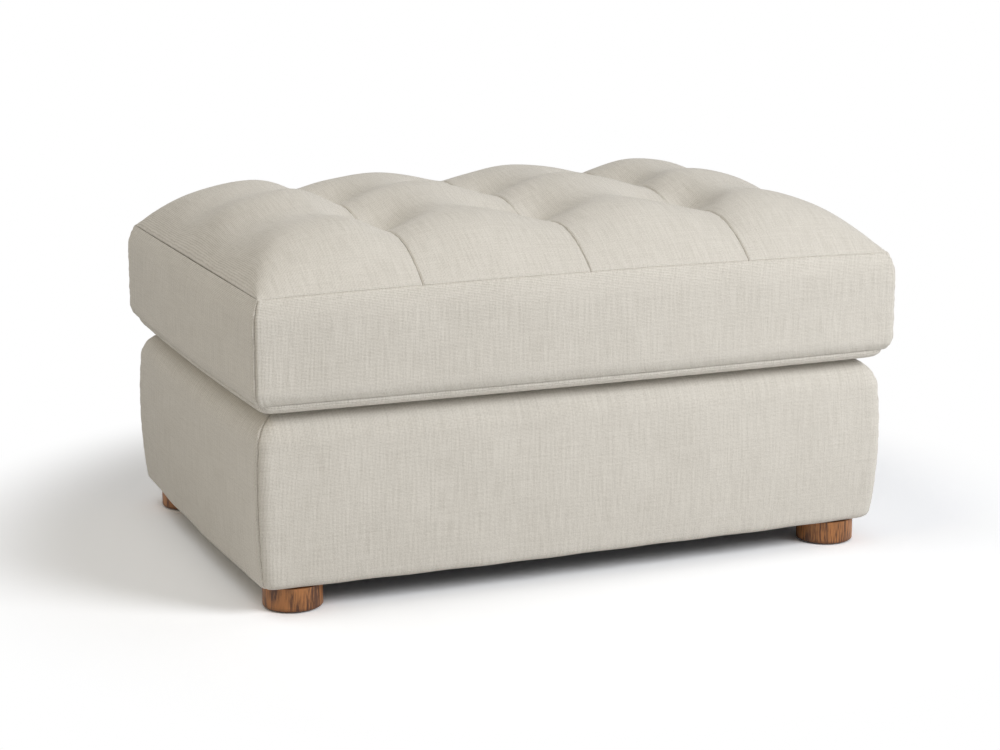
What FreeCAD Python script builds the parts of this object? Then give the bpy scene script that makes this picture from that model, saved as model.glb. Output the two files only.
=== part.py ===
import FreeCAD, Part
import math
import os

# Upholstered footstool with a loose tufted cushion, in millimetres.
# +Z is up, the front faces -Y, and the origin is on the floor under the middle of the stool.
# A timber frame on four turned feet carries zigzag springs and a padded, covered deck.
# The cushion on top lifts off. Its cover has four strips on top, drawn down at six tufts,
# a border with seams at the corners, a bottom panel and a zip along the back border.

# Overall sizes of the base
BASE_HALF_LENGTH = 415.0       # half length at the widest height, at the corners
BASE_HALF_DEPTH = 280.0        # half depth at the widest height, at the corners
BASE_BOW = 5.0                 # how far each side swells in plan, between its corners
BASE_WIDEST_Z = 140.0          # height at which the sides are widest
BASE_SWELL = 7.0               # how far the sides draw in towards top and bottom
BASE_TOP_ROUND = 40.0          # radius of the padded top edges
BASE_BOTTOM_ROUND = 12.0       # radius of the padded bottom edges
BASE_CORNER_ROUND = 17.0       # plan radius of the padded corners
FOOT_HEIGHT = 30.0             # floor to the underside of the stool
DECK_HEIGHT = 242.0            # floor to the top of the covered deck

# Cloth, padding and clearances
CLOTH = 2.0                    # upholstery cloth with its backing
GAP = 0.3                      # clearance between soft layers
DUST_CLOTH = 1.0
DUST_INSET = 8.0               # edge of the dust cover, inward from the frame's outer faces
FOLD_WIDTH = 46.0              # cover turned in under the rails
SEAM_INSET = 3.0               # end seams, inward from the outline seen from the front
DECK_SEAM_INSET = 55.0         # from the base's front and back to the deck panel's seams
DECK_FOAM = 14.0
DECK_HESSIAN = 1.0

# Timber frame
BOARD = 3.0                    # hardboard facing under the side padding
FRAME_INSET_X = 25.0           # widest padded outline to the facing, at the ends
FRAME_INSET_Y = 26.0           # and at the front and back
RAIL_THICKNESS = 22.0
TOP_RAIL_HEIGHT = 60.0
BOTTOM_RAIL_HEIGHT = 50.0
POST = 50.0                    # square section of the corner posts
UPRIGHT = 45.0                 # width of the middle uprights and of the cross rail
DOWEL_RADIUS = 4.0
DOWEL_LENGTH = 30.0
DOWEL_INSET = 14.0             # from a rail's top and bottom edge to its dowels
DOWEL_CLEARANCE = 0.2
DOWEL_END_ROOM = 0.5

# Springs
SPRING_COUNT = 6
SPRING_WIRE = 3.8
SPRING_WIDTH = 46.0            # over the wire's centreline
SPRING_PITCH = 20.0            # from one cross run to the next
SPRING_INSET = 37.0            # corner post to the middle of the first spring
CLIP_WIDTH = 28.0
CLIP_DEPTH = 13.0
CLIP_WALL = 1.4
WIRE_CLEARANCE = 0.2
TIE_WIRE = 2.4
TIE_WIRE_OFFSET = 95.0         # tie wires run this far in front of and behind the middle

# Feet and their fixings
FOOT_RADIUS = 36.0
FOOT_INSET_X = 55.0            # centre of a foot to the base's widest outline, at the ends
FOOT_INSET_Y = 47.0            # and at the front and back
FOOT_EDGE_ROUND = 2.0
GLIDE_MARGIN = 6.0             # rim of the foot around its felt glide
GLIDE_THICKNESS = 3.0
GLIDE_RECESS = 1.5
BOLT_RADIUS = 4.0
BOLT_CLEARANCE = 0.2
BOLT_IN_FOOT = 20.0            # depth of the hanger bolt in the foot
BOLT_IN_POST = 30.0            # depth of the hanger bolt in the corner post
BOLT_END_ROOM = 2.0            # drilled this much deeper than the bolt
INSERT_WALL = 3.0              # threaded insert, outside the bolt
INSERT_LENGTH = 20.0
INSERT_FLANGE_RIM = 3.0        # how far its flange stands out
INSERT_FLANGE = 2.0

# Cushion
CUSHION_OUT_X = -5.0           # the border's seams, outward from the base's widest outline, at the ends
CUSHION_OUT_Y = 4.0            # and at the front and back
CUSHION_GAP = 0.3              # cushion to deck
BORDER_LIFT = 13.7             # underside of the cushion to the lower seam
BORDER_HEIGHT = 124.0          # lower seam to upper seam
BORDER_BULGE = 9.5             # how far the border swells between its two seams
TOP_SHOULDER = 36.0            # height over which it swells, under the upper seam
BOTTOM_SHOULDER = 18.0         # the same over the lower seam
BORDER_BOW = 5.5               # how far it swells in plan, between its corners
CUSHION_CORNER_ROUND = 10.0    # plan radius of the border's corners at mid height
SEAM_CORNER_ROUND = 3.0        # the same at its two seams
BOTTOM_ROLL = 34.0             # from the lower seam in to where the cushion rests on the deck
TOP_BOW = 3.0                  # plan swell of the front and back upper seams
TOP_BOW_ENDS = 0.6             # plan swell of the upper seams at the two ends
SEAM_CREST = 48.0              # crest of the front and back rows along a seam, above the upper seam
SEAM_MIDDLE_CREST = 54.0       # crest of the middle row along a seam
TUFT_RISE = 26.0               # bottom of a tuft
PUFF_CREST = 69.0              # crest of the front and back rows in mid column
PUFF_MIDDLE_CREST = 79.0       # crest of the middle row in mid column
VALLEY_RISE = 55.0             # soft valley between two rows in mid column
END_VALLEY_RISE = 1.2          # the same just inside the end seams
EDGE_CREST = 2.5               # the crests just inside the end seams
TOPPER_EDGE = 5.0              # the fibre wrap starts this far below the upper seam
END_STRIP_WIDTH = 198.0        # end seam to the first seam between strips
TUFT_INSET = 189.0             # front and back seams to the tuft lines
CREST_RUN = 130.0              # from the front and back seams to the puffs' crests, in mid column
SEAM_CREST_RUN = 100.0         # the same along a seam between strips
END_CREST_RUN = 35.0           # the same at the two ends
# How full a column is across its width, as pairs of share of the width and fullness
END_RISE = ((0, 0), (0.04, 0.24), (0.11, 0.46), (0.27, 0.74), (0.49, 0.94), (0.66, 1.0))
SEAM_RISE = ((0, 0), (0.07, 0.25), (0.2, 0.58), (0.34, 0.86))

# Tuft ties
TIE_RADIUS = 1.3
TIE_HOLE_CLEARANCE = 0.3
TIE_HEAD_RADIUS = 5.0
TIE_HEAD = 1.2
TIE_WASHER_RADIUS = 12.0
TIE_WASHER = 2.0

# Zip along the middle of the back border
ZIP_END_INSET = 130.0          # end of the zip to the corner of the back border
ZIP_SIDE_ROOM = 0.7            # slit to slider, above and below
ZIP_RELIEF = 6.0               # room in the foam past each end of the zip
ZIP_TAPE_WIDTH = 12.0          # each tape, from its fold under the cloth
ZIP_TAPE_LAP = 1.0             # each tape reaches this far under its half of the chain
ZIP_TAPE = 0.8
CHAIN_WIDTH = 5.0
CHAIN_DEPTH = 1.8
SLIDER_LENGTH = 12.0
SLIDER_SIDE_WALL = 1.0
SLIDER_WALL = 0.8
SLIDER_CLEARANCE = 0.3
CROWN_WIRE = 1.4
CROWN_INSET = 1.0              # ends of the slider to the legs of its bridge
CROWN_HEIGHT = 4.0
PULL_LENGTH = 24.0
PULL_SIDE_ROOM = 0.4           # pull to the bridge's legs
PULL_THICKNESS = 1.2
PULL_EYE_CLEARANCE = 0.3
PULL_EYE_WALL = 0.8

# Levels that follow from the sizes above
COVER_BOTTOM_Z = FOOT_HEIGHT + DUST_CLOTH
FRAME_BOTTOM_Z = COVER_BOTTOM_Z + CLOTH
DECK_FOAM_TOP_Z = DECK_HEIGHT - CLOTH - GAP
DECK_FOAM_BOTTOM_Z = DECK_FOAM_TOP_Z - DECK_FOAM
HESSIAN_BOTTOM_Z = DECK_FOAM_BOTTOM_Z - GAP - DECK_HESSIAN
TIE_WIRE_Z = HESSIAN_BOTTOM_Z - GAP - TIE_WIRE / 2
SPRING_Z = TIE_WIRE_Z - TIE_WIRE / 2 - WIRE_CLEARANCE - SPRING_WIRE / 2
FRAME_TOP_Z = SPRING_Z - SPRING_WIRE / 2 - WIRE_CLEARANCE - CLIP_WALL
FACING_X = BASE_HALF_LENGTH - FRAME_INSET_X
FACING_Y = BASE_HALF_DEPTH - FRAME_INSET_Y
FRAME_X = FACING_X - BOARD
FRAME_Y = FACING_Y - BOARD
CUSHION_BOTTOM_Z = DECK_HEIGHT + CUSHION_GAP
BORDER_BOTTOM_Z = CUSHION_BOTTOM_Z + BORDER_LIFT
BORDER_TOP_Z = BORDER_BOTTOM_Z + BORDER_HEIGHT
SEAM_CREST_Z = BORDER_TOP_Z + SEAM_CREST
SEAM_MIDDLE_CREST_Z = BORDER_TOP_Z + SEAM_MIDDLE_CREST
TUFT_Z = BORDER_TOP_Z + TUFT_RISE
PUFF_CREST_Z = BORDER_TOP_Z + PUFF_CREST
PUFF_MIDDLE_CREST_Z = BORDER_TOP_Z + PUFF_MIDDLE_CREST
VALLEY_Z = BORDER_TOP_Z + VALLEY_RISE
EDGE_CREST_Z = BORDER_TOP_Z + EDGE_CREST
CORE_BOTTOM_Z = CUSHION_BOTTOM_Z + CLOTH + GAP
CORE_TOP_Z = BORDER_TOP_Z - TOPPER_EDGE
CUSHION_HALF_LENGTH = BASE_HALF_LENGTH + CUSHION_OUT_X
CUSHION_HALF_DEPTH = BASE_HALF_DEPTH + CUSHION_OUT_Y
STRIP_SEAM_X = CUSHION_HALF_LENGTH - END_STRIP_WIDTH
TUFT_Y = CUSHION_HALF_DEPTH - TUFT_INSET
FOOT_X = BASE_HALF_LENGTH - FOOT_INSET_X
FOOT_Y = BASE_HALF_DEPTH - FOOT_INSET_Y
GLIDE_RADIUS = FOOT_RADIUS - GLIDE_MARGIN
INSERT_RADIUS = BOLT_RADIUS + INSERT_WALL
INSERT_FLANGE_RADIUS = INSERT_RADIUS + INSERT_FLANGE_RIM
SPRING_SPREAD = 2 * (FRAME_X - POST - SPRING_INSET)
ZIP_LENGTH = 2 * (CUSHION_HALF_LENGTH - ZIP_END_INSET)
ZIP_Z = (BORDER_TOP_Z + BORDER_BOTTOM_Z) / 2
SLIDER_WIDTH = CHAIN_WIDTH + 2 * (SLIDER_CLEARANCE + SLIDER_SIDE_WALL)
ZIP_OPENING = SLIDER_WIDTH + 2 * ZIP_SIDE_ROOM
PULL_WIDTH = SLIDER_LENGTH - 2 * (CROWN_INSET + CROWN_WIRE + PULL_SIDE_ROOM)
TUFTS = [(x, y) for x in (-STRIP_SEAM_X, 0, STRIP_SEAM_X) for y in (-TUFT_Y, TUFT_Y)]
FOOT_PLACES = [(x, y) for x in (-FOOT_X, FOOT_X) for y in (-FOOT_Y, FOOT_Y)]
FAR = 2000.0                   # longer than the stool, for cutting tools


def point(x, y, z):
    return FreeCAD.Vector(x, y, z)


def box(x0, x1, y0, y1, z0, z1):
    return Part.makeBox(x1 - x0, y1 - y0, z1 - z0, point(x0, y0, z0))


def rod(radius, start, length, direction):
    """A cylinder of the radius, from the start point along the direction."""
    return Part.makeCylinder(radius, length, point(*start), point(*direction))


def three_point_arc(start, middle, end):
    return Part.Arc(point(*start), point(*middle), point(*end)).toShape()


def line(start, end):
    return Part.LineSegment(point(*start), point(*end)).toShape()


def joined(shapes):
    """One solid from solids that overlap or share a face."""
    return shapes[0].fuse(list(shapes[1:])).removeSplitter()


def group(shapes):
    """Several separate solids that share one node."""
    return Part.makeCompound([solid for shape in shapes for solid in shape.Solids])


def between(low, high, share):
    return low + (high - low) * share


def mirrored_x(shape):
    return shape.mirror(point(0, 0, 0), point(1, 0, 0))


def mirrored_y(shape):
    return shape.mirror(point(0, 0, 0), point(0, 1, 0))


# Soft outlines

def plan_outline(half_length, half_depth, bow_x, bow_y, radius, z):
    """A closed plan outline: four sides that swell by the bows, and four round corners."""
    x, y = half_length - radius, half_depth - radius
    turn = radius * math.sqrt(0.5)
    edges = []
    for sx, sy in ((1, -1), (1, 1), (-1, 1), (-1, -1)):
        if sx * sy < 0:
            side = ((-sx * x, sy * half_depth), (0, sy * (half_depth + bow_y)), (sx * x, sy * half_depth))
            corner = (side[2], (sx * (x + turn), sy * (y + turn)), (sx * half_length, sy * y))
        else:
            side = ((sx * half_length, -sy * y), (sx * (half_length + bow_x), 0), (sx * half_length, sy * y))
            corner = (side[2], (sx * (x + turn), sy * (y + turn)), (sx * x, sy * half_depth))
        for start, middle, end in (side, corner):
            edges.append(three_point_arc((*start, z), (*middle, z), (*end, z)))
    return Part.Wire(edges)


def base_swell_inset(z):
    """How far the base's side lies inside its widest outline at height z, before its edges round over."""
    return BASE_SWELL * ((z - BASE_WIDEST_Z) / (BASE_WIDEST_Z - COVER_BOTTOM_Z)) ** 2


def base_profile(skin):
    """Heights and insets up the base's side, with rounded edges below and above, under the skin."""
    low_z, high_z = COVER_BOTTOM_Z + BASE_BOTTOM_ROUND, DECK_HEIGHT - BASE_TOP_ROUND
    low_inset, high_inset = base_swell_inset(low_z), base_swell_inset(high_z)
    profile = []
    for degrees in (90, 60, 30):
        radius, turn = BASE_BOTTOM_ROUND - skin, math.radians(degrees)
        profile.append((low_z - radius * math.sin(turn), low_inset + radius * (1 - math.cos(turn))))
    for share in (0.0, 0.33, 0.67):
        z = between(low_z, high_z, share)
        profile.append((z, base_swell_inset(z)))
    for degrees in (0, 25, 48, 68, 90):
        radius, turn = BASE_TOP_ROUND - skin, math.radians(degrees)
        profile.append((high_z + radius * math.sin(turn), high_inset + radius * (1 - math.cos(turn))))
    return [(z, inset + skin) for z, inset in profile]


def base_block(skin):
    """The padded base as one solid, with its skin taken off all round."""
    wires = [plan_outline(BASE_HALF_LENGTH - inset, BASE_HALF_DEPTH - inset, BASE_BOW, BASE_BOW,
                          BASE_CORNER_ROUND, z) for z, inset in base_profile(skin)]
    return Part.makeLoft(wires, True)


def border_swell(z):
    """How far the cushion's border stands out from its seams at height z, with soft shoulders."""
    from_top, from_bottom = BORDER_TOP_Z - z, z - BORDER_BOTTOM_Z
    if from_top < TOP_SHOULDER:
        return BORDER_BULGE * (1 - (1 - from_top / TOP_SHOULDER) ** 2.5)
    if from_bottom < BOTTOM_SHOULDER:
        return BORDER_BULGE * (1 - (1 - from_bottom / BOTTOM_SHOULDER) ** 2.5)
    return BORDER_BULGE


def cushion_outline(out, bow_share, skin, z):
    """The cushion's plan outline, swollen outward and in plan, with its skin taken off."""
    bow_x = between(TOP_BOW_ENDS, BORDER_BOW, bow_share)
    bow_y = between(TOP_BOW, BORDER_BOW, bow_share)
    corner = between(SEAM_CORNER_ROUND, CUSHION_CORNER_ROUND, max(out, 0.0) / BORDER_BULGE)
    half_x = CUSHION_HALF_LENGTH + out - skin
    half_y = CUSHION_HALF_DEPTH + out - skin
    return plan_outline(half_x, half_y, bow_x, bow_y, corner, z)


def border_block(skin):
    """The cushion between its two seams, with its skin taken off its sides."""
    steps = 12
    wires = []
    for step in range(steps + 1):
        share = step / steps
        z = between(BORDER_BOTTOM_Z, BORDER_TOP_Z, share)
        wires.append(cushion_outline(border_swell(z), min(2 - 2 * share, 1.0), skin, z))
    return Part.makeLoft(wires, True)


def roll_block(skin):
    """The cushion under its lower seam, rolled in to its underside, with its skin taken off."""
    depth = BORDER_BOTTOM_Z - CUSHION_BOTTOM_Z - skin
    steps = 5
    wires = []
    for step in range(steps + 1):
        share = step / steps
        z = CUSHION_BOTTOM_Z + skin + depth * share ** 2
        wires.append(cushion_outline(BOTTOM_ROLL * (share - 1), 1.0, skin, z))
    return Part.makeLoft(wires, True)


# Tufted top

def end_column_sections():
    """Places across the left column from the end inward: x, fullness, and whether the end is its low side."""
    places = [(share * END_STRIP_WIDTH - CUSHION_HALF_LENGTH, full, True) for share, full in END_RISE]
    return places + [(-STRIP_SEAM_X - share * END_STRIP_WIDTH, full, False)
                     for share, full in reversed(SEAM_RISE[:-1])]


def middle_column_sections():
    """Places across the column left of the middle, between its two seams."""
    places = [((share - 1) * STRIP_SEAM_X, full, False) for share, full in SEAM_RISE]
    places.append((-STRIP_SEAM_X / 2, 1.0, False))
    return places + [(-share * STRIP_SEAM_X, full, False) for share, full in reversed(SEAM_RISE)]


def rounded_rise(x, start_y, start_z, end_y, end_z, top):
    """An arc from the start point to the end point that is level at one of them."""
    level_y, level_z = (end_y, end_z) if top == "end" else (start_y, start_z)
    low_y, low_z = (start_y, start_z) if top == "end" else (end_y, end_z)
    rise, run = level_z - low_z, low_y - level_y
    radius = (run ** 2 + rise ** 2) / (2 * rise)
    half_turn = math.atan(rise / abs(run))
    middle_y = level_y + math.copysign(radius * math.sin(half_turn), run)
    middle_z = level_z - radius * (1 - math.cos(half_turn))
    return three_point_arc((x, start_y, start_z), (x, middle_y, middle_z), (x, end_y, end_z))


def top_section(x, full, by_end, skin, floor_z):
    """A closed outline across the cushion's depth: flat below, three puffs above."""
    half_depth = CUSHION_HALF_DEPTH + TOP_BOW * (1 - (x / CUSHION_HALF_LENGTH) ** 2) - skin
    if by_end:
        row_low, middle_low, run_low = EDGE_CREST_Z, EDGE_CREST_Z, END_CREST_RUN
        valley_low = BORDER_TOP_Z + END_VALLEY_RISE
    else:
        row_low, middle_low, run_low = SEAM_CREST_Z, SEAM_MIDDLE_CREST_Z, SEAM_CREST_RUN
        valley_low = TUFT_Z
    row_z = between(row_low, PUFF_CREST_Z, full) - skin
    middle_z = between(middle_low, PUFF_MIDDLE_CREST_Z, full) - skin
    valley_z = between(valley_low, VALLEY_Z, full) - skin
    crest_y = half_depth - between(run_low, CREST_RUN, full)
    edge_z = BORDER_TOP_Z + CLOTH / 2 - skin
    edges = [line((x, half_depth, floor_z), (x, -half_depth, floor_z)),
             line((x, -half_depth, floor_z), (x, -half_depth, edge_z)),
             rounded_rise(x, -half_depth, edge_z, -crest_y, row_z, "end"),
             rounded_rise(x, -crest_y, row_z, -TUFT_Y, valley_z, "start"),
             three_point_arc((x, -TUFT_Y, valley_z), (x, 0, middle_z), (x, TUFT_Y, valley_z)),
             rounded_rise(x, TUFT_Y, valley_z, crest_y, row_z, "end"),
             rounded_rise(x, crest_y, row_z, half_depth, edge_z, "start"),
             line((x, half_depth, edge_z), (x, half_depth, floor_z))]
    return Part.Wire(edges)


def column_block(sections, skin, floor_z):
    """One column of the crown, from the floor height up to its surface, with the skin taken off."""
    wires = []
    for x, full, by_end in sections:
        inward = skin if by_end and full == 0 else 0.0
        wires.append(top_section(x + inward, full, by_end, skin, floor_z))
    return Part.makeLoft(wires, True)


def crown(skin, floor_z):
    """The four columns of the crown, from left to right."""
    end = column_block(end_column_sections(), skin, floor_z)
    middle = column_block(middle_column_sections(), skin, floor_z)
    return [end, middle, mirrored_x(middle), mirrored_x(end)]


def top_strips():
    """The strips of the cushion's top panel, as cloth over the crown."""
    outer = crown(0.0, BORDER_TOP_Z)
    inner = crown(CLOTH, BORDER_TOP_Z - CLOTH)
    names = ("left", "mid_left", "mid_right", "right")
    return {"cushion_top_strip_" + name: o.cut(i) for name, o, i in zip(names, outer, inner)}


# Base covers and padding

def deck_seam_x():
    """Where the end seams reach the deck panel's corners, on top of the base."""
    turn_z = DECK_HEIGHT - BASE_TOP_ROUND
    return BASE_HALF_LENGTH - base_swell_inset(turn_z) - SEAM_INSET - BASE_TOP_ROUND * 0.75


def seam_tool():
    """Everything between the two end seams of the front and back covers, as seen from the front."""
    turn_z = DECK_HEIGHT - BASE_TOP_ROUND
    turn_x = BASE_HALF_LENGTH - base_swell_inset(turn_z) - SEAM_INSET
    low = (BASE_HALF_LENGTH - BASE_SWELL - SEAM_INSET, COVER_BOTTOM_Z - CLOTH)
    widest = (BASE_HALF_LENGTH - SEAM_INSET, BASE_WIDEST_Z)
    turn = (turn_x, turn_z)
    over = (turn_x - BASE_TOP_ROUND * 0.2, turn_z + BASE_TOP_ROUND * 0.62)
    top = (deck_seam_x(), DECK_HEIGHT - CLOTH)
    high = (deck_seam_x(), DECK_HEIGHT + CLOTH)

    def place(spot, side):
        return (side * spot[0], -FAR, spot[1])

    edges = [three_point_arc(place(low, 1), place(widest, 1), place(turn, 1)),
             three_point_arc(place(turn, 1), place(over, 1), place(top, 1)),
             line(place(top, 1), place(high, 1)),
             line(place(high, 1), place(high, -1)),
             line(place(high, -1), place(top, -1)),
             three_point_arc(place(top, -1), place(over, -1), place(turn, -1)),
             three_point_arc(place(turn, -1), place(widest, -1), place(low, -1)),
             line(place(low, -1), place(low, 1))]
    return Part.Face(Part.Wire(edges)).extrude(point(0, 2 * FAR, 0))


def end_fold(side):
    """The space under one end where the end cover turns in, mitred against the front and back covers."""
    inner_x, inner_y = FRAME_X - FOLD_WIDTH, FRAME_Y - FOLD_WIDTH
    out = 2 * FOLD_WIDTH
    low = COVER_BOTTOM_Z - CLOTH
    corners = [point(side * inner_x, -inner_y, low), point(side * (inner_x + out), -inner_y - out, low),
               point(side * (inner_x + out), inner_y + out, low), point(side * inner_x, inner_y, low)]
    face = Part.Face(Part.makePolygon(corners + [corners[0]]))
    return face.extrude(point(0, 0, BASE_BOTTOM_ROUND / 2 + CLOTH))


def bolt_holes(z0, z1, radius):
    return [rod(radius, (x, y, z0), z1 - z0, (0, 0, 1)) for x, y in FOOT_PLACES]


def base_covers():
    """The base's cloth cover: front, back, two ends and the deck panel."""
    fold = box(-FRAME_X + FOLD_WIDTH, FRAME_X - FOLD_WIDTH, -FRAME_Y + FOLD_WIDTH, FRAME_Y - FOLD_WIDTH,
               COVER_BOTTOM_Z - CLOTH, FRAME_BOTTOM_Z + CLOTH)
    shell = base_block(0.0).cut([base_block(CLOTH), fold])
    shell = shell.cut(bolt_holes(FOOT_HEIGHT, FRAME_BOTTOM_Z + CLOTH, BOLT_RADIUS + BOLT_CLEARANCE))
    deck_x, deck_y = deck_seam_x(), BASE_HALF_DEPTH - DECK_SEAM_INSET
    deck_tool = box(-deck_x, deck_x, -deck_y, deck_y, DECK_HEIGHT - 2 * CLOTH, DECK_HEIGHT + CLOTH)
    sides = shell.cut(deck_tool)
    end_tops = [box(x0, x1, -deck_y, deck_y, BASE_WIDEST_Z, FAR)
                for x0, x1 in ((-FAR, -deck_x), (deck_x, FAR))]
    between_seams = seam_tool().cut([end_fold(-1), end_fold(1)] + end_tops)
    strips = sides.common(between_seams)
    ends = sides.cut(between_seams)
    front_half = box(-FAR, FAR, -FAR, 0, -FAR, FAR)
    left_half = box(-FAR, 0, -FAR, FAR, -FAR, FAR)
    return {"base_front_cover": strips.common(front_half), "base_back_cover": strips.cut(front_half),
            "base_left_cover": ends.common(left_half), "base_right_cover": ends.cut(left_half),
            "deck_panel": shell.common(deck_tool)}


def base_padding():
    """Foam and wadding round the frame, and the deck foam over the springs."""
    block = base_block(CLOTH + GAP)
    x, y = FACING_X + GAP, FACING_Y + GAP
    lower_z = FRAME_BOTTOM_Z + GAP
    above = box(-FAR, FAR, -FAR, FAR, lower_z, FAR)
    block = block.common(above)
    front = block.common(box(-x, x, -FAR, -y, -FAR, FAR))
    back = block.common(box(-x, x, y, FAR, -FAR, FAR))
    left = block.common(box(-FAR, -x - GAP, -FAR, FAR, -FAR, FAR))
    right = block.common(box(x + GAP, FAR, -FAR, FAR, -FAR, FAR))
    inside = box(-x + GAP, x - GAP, -y + GAP, y - GAP, DECK_FOAM_BOTTOM_Z, DECK_FOAM_TOP_Z)
    return {"front_padding": front, "back_padding": back, "left_padding": left, "right_padding": right,
            "deck_foam": block.common(inside)}


def facing_boards():
    boards = {"front_facing": box(-FRAME_X, FRAME_X, -FACING_Y, -FRAME_Y, FRAME_BOTTOM_Z, FRAME_TOP_Z),
              "left_facing": box(-FACING_X, -FRAME_X, -FACING_Y, FACING_Y, FRAME_BOTTOM_Z, FRAME_TOP_Z)}
    boards["back_facing"] = mirrored_y(boards["front_facing"])
    boards["right_facing"] = mirrored_x(boards["left_facing"])
    return boards


def deck_hessian():
    x, y = FRAME_X - GAP, FRAME_Y - GAP
    return box(-x, x, -y, y, HESSIAN_BOTTOM_Z, HESSIAN_BOTTOM_Z + DECK_HESSIAN)


def dust_cover():
    x, y = FRAME_X - DUST_INSET, FRAME_Y - DUST_INSET
    sheet = box(-x, x, -y, y, FOOT_HEIGHT, COVER_BOTTOM_Z)
    return sheet.cut(bolt_holes(FOOT_HEIGHT - 1, COVER_BOTTOM_Z + 1, BOLT_RADIUS + BOLT_CLEARANCE))


# Timber frame

def dowel_places():
    """Start point and direction of each dowel hole: two at each end of every rail."""
    reach = DOWEL_LENGTH / 2
    levels = [(FRAME_BOTTOM_Z, FRAME_BOTTOM_Z + BOTTOM_RAIL_HEIGHT),
              (FRAME_TOP_Z - TOP_RAIL_HEIGHT, FRAME_TOP_Z)]
    places = []
    for low, high in levels:
        for z in (low + DOWEL_INSET, high - DOWEL_INSET):
            for sx in (-1, 1):
                for sy in (-1, 1):
                    rail_y = sy * (FRAME_Y - RAIL_THICKNESS / 2)
                    rail_x = sx * (FRAME_X - RAIL_THICKNESS / 2)
                    places.append(((sx * (FRAME_X - POST) - reach, rail_y, z), (1, 0, 0)))
                    places.append(((rail_x, sy * (FRAME_Y - POST) - reach, z), (0, 1, 0)))
    return places


def dowel_rods(extra_radius, extra_length):
    rods = []
    for start, way in dowel_places():
        moved = tuple(s - w * extra_length for s, w in zip(start, way))
        rods.append(rod(DOWEL_RADIUS + extra_radius, moved, DOWEL_LENGTH + 2 * extra_length, way))
    return rods


def frame_parts():
    """Posts, rails, uprights and the cross rail, drilled for their dowels and for the feet."""
    holes = dowel_rods(DOWEL_CLEARANCE, DOWEL_END_ROOM)
    levels = {"bottom": (FRAME_BOTTOM_Z, FRAME_BOTTOM_Z + BOTTOM_RAIL_HEIGHT),
              "top": (FRAME_TOP_Z - TOP_RAIL_HEIGHT, FRAME_TOP_Z)}
    long_x, long_y = FRAME_X - POST, FRAME_Y - POST
    parts = {}
    for level, (low, high) in levels.items():
        front = box(-long_x, long_x, -FRAME_Y, -FRAME_Y + RAIL_THICKNESS, low, high)
        left = box(-FRAME_X, -FRAME_X + RAIL_THICKNESS, -long_y, long_y, low, high)
        parts["front_" + level + "_rail"] = front.cut(holes)
        parts["back_" + level + "_rail"] = mirrored_y(front).cut(holes)
        parts["left_" + level + "_rail"] = left.cut(holes)
        parts["right_" + level + "_rail"] = mirrored_x(left).cut(holes)
    post = box(-FRAME_X, -FRAME_X + POST, -FRAME_Y, -FRAME_Y + POST, FRAME_BOTTOM_Z, FRAME_TOP_Z)
    posts = [post, mirrored_x(post), mirrored_y(post), mirrored_x(mirrored_y(post))]
    bolt_top = FRAME_BOTTOM_Z + BOLT_IN_POST + BOLT_END_ROOM
    drills = bolt_holes(FRAME_BOTTOM_Z - 1, bolt_top, BOLT_RADIUS + BOLT_CLEARANCE)
    drills += bolt_holes(FRAME_BOTTOM_Z - 1, FRAME_BOTTOM_Z + INSERT_LENGTH + GAP, INSERT_RADIUS + GAP)
    drills += bolt_holes(FRAME_BOTTOM_Z - 1, FRAME_BOTTOM_Z + INSERT_FLANGE + GAP, INSERT_FLANGE_RADIUS + GAP)
    parts["corner_posts"] = group([p.cut(holes + drills) for p in posts])
    upright = box(-UPRIGHT / 2, UPRIGHT / 2, -FRAME_Y, -FRAME_Y + RAIL_THICKNESS, levels["bottom"][1],
                  levels["top"][0])
    parts["middle_uprights"] = group([upright, mirrored_y(upright)])
    inner_y = FRAME_Y - RAIL_THICKNESS
    parts["cross_rail"] = box(-UPRIGHT / 2, UPRIGHT / 2, -inner_y, inner_y, levels["bottom"][0],
                              levels["bottom"][0] + BOTTOM_RAIL_HEIGHT)
    parts["rail_dowels"] = group(dowel_rods(0.0, 0.0))
    return parts


# Springs

def spring_places():
    step = SPRING_SPREAD / (SPRING_COUNT - 1)
    return [-SPRING_SPREAD / 2 + i * step for i in range(SPRING_COUNT)]


def clip_y():
    return FRAME_Y - RAIL_THICKNESS / 2


def zigzag_spring(x):
    """One zigzag spring: cross runs joined by half turns, between its two clips."""
    runs = 2 * int(clip_y() / SPRING_PITCH) + 1
    pitch = 2 * clip_y() / (runs - 1)
    turn = pitch / 2
    half = SPRING_WIDTH / 2 - turn
    edges = []
    for i in range(runs):
        y = -clip_y() + i * pitch
        side = 1 if i % 2 == 0 else -1
        edges.append(line((x - side * half, y, SPRING_Z), (x + side * half, y, SPRING_Z)))
        if i < runs - 1:
            bend = (x + side * (half + turn), y + turn, SPRING_Z)
            near, far = (x + side * half, y, SPRING_Z), (x + side * half, y + pitch, SPRING_Z)
            edges.append(three_point_arc(near, bend, far))
    path = Part.Wire(edges)
    ring = Part.Wire(Part.makeCircle(SPRING_WIRE / 2, point(x - half, -clip_y(), SPRING_Z), point(1, 0, 0)))
    return path.makePipeShell([ring], True, False)


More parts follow.
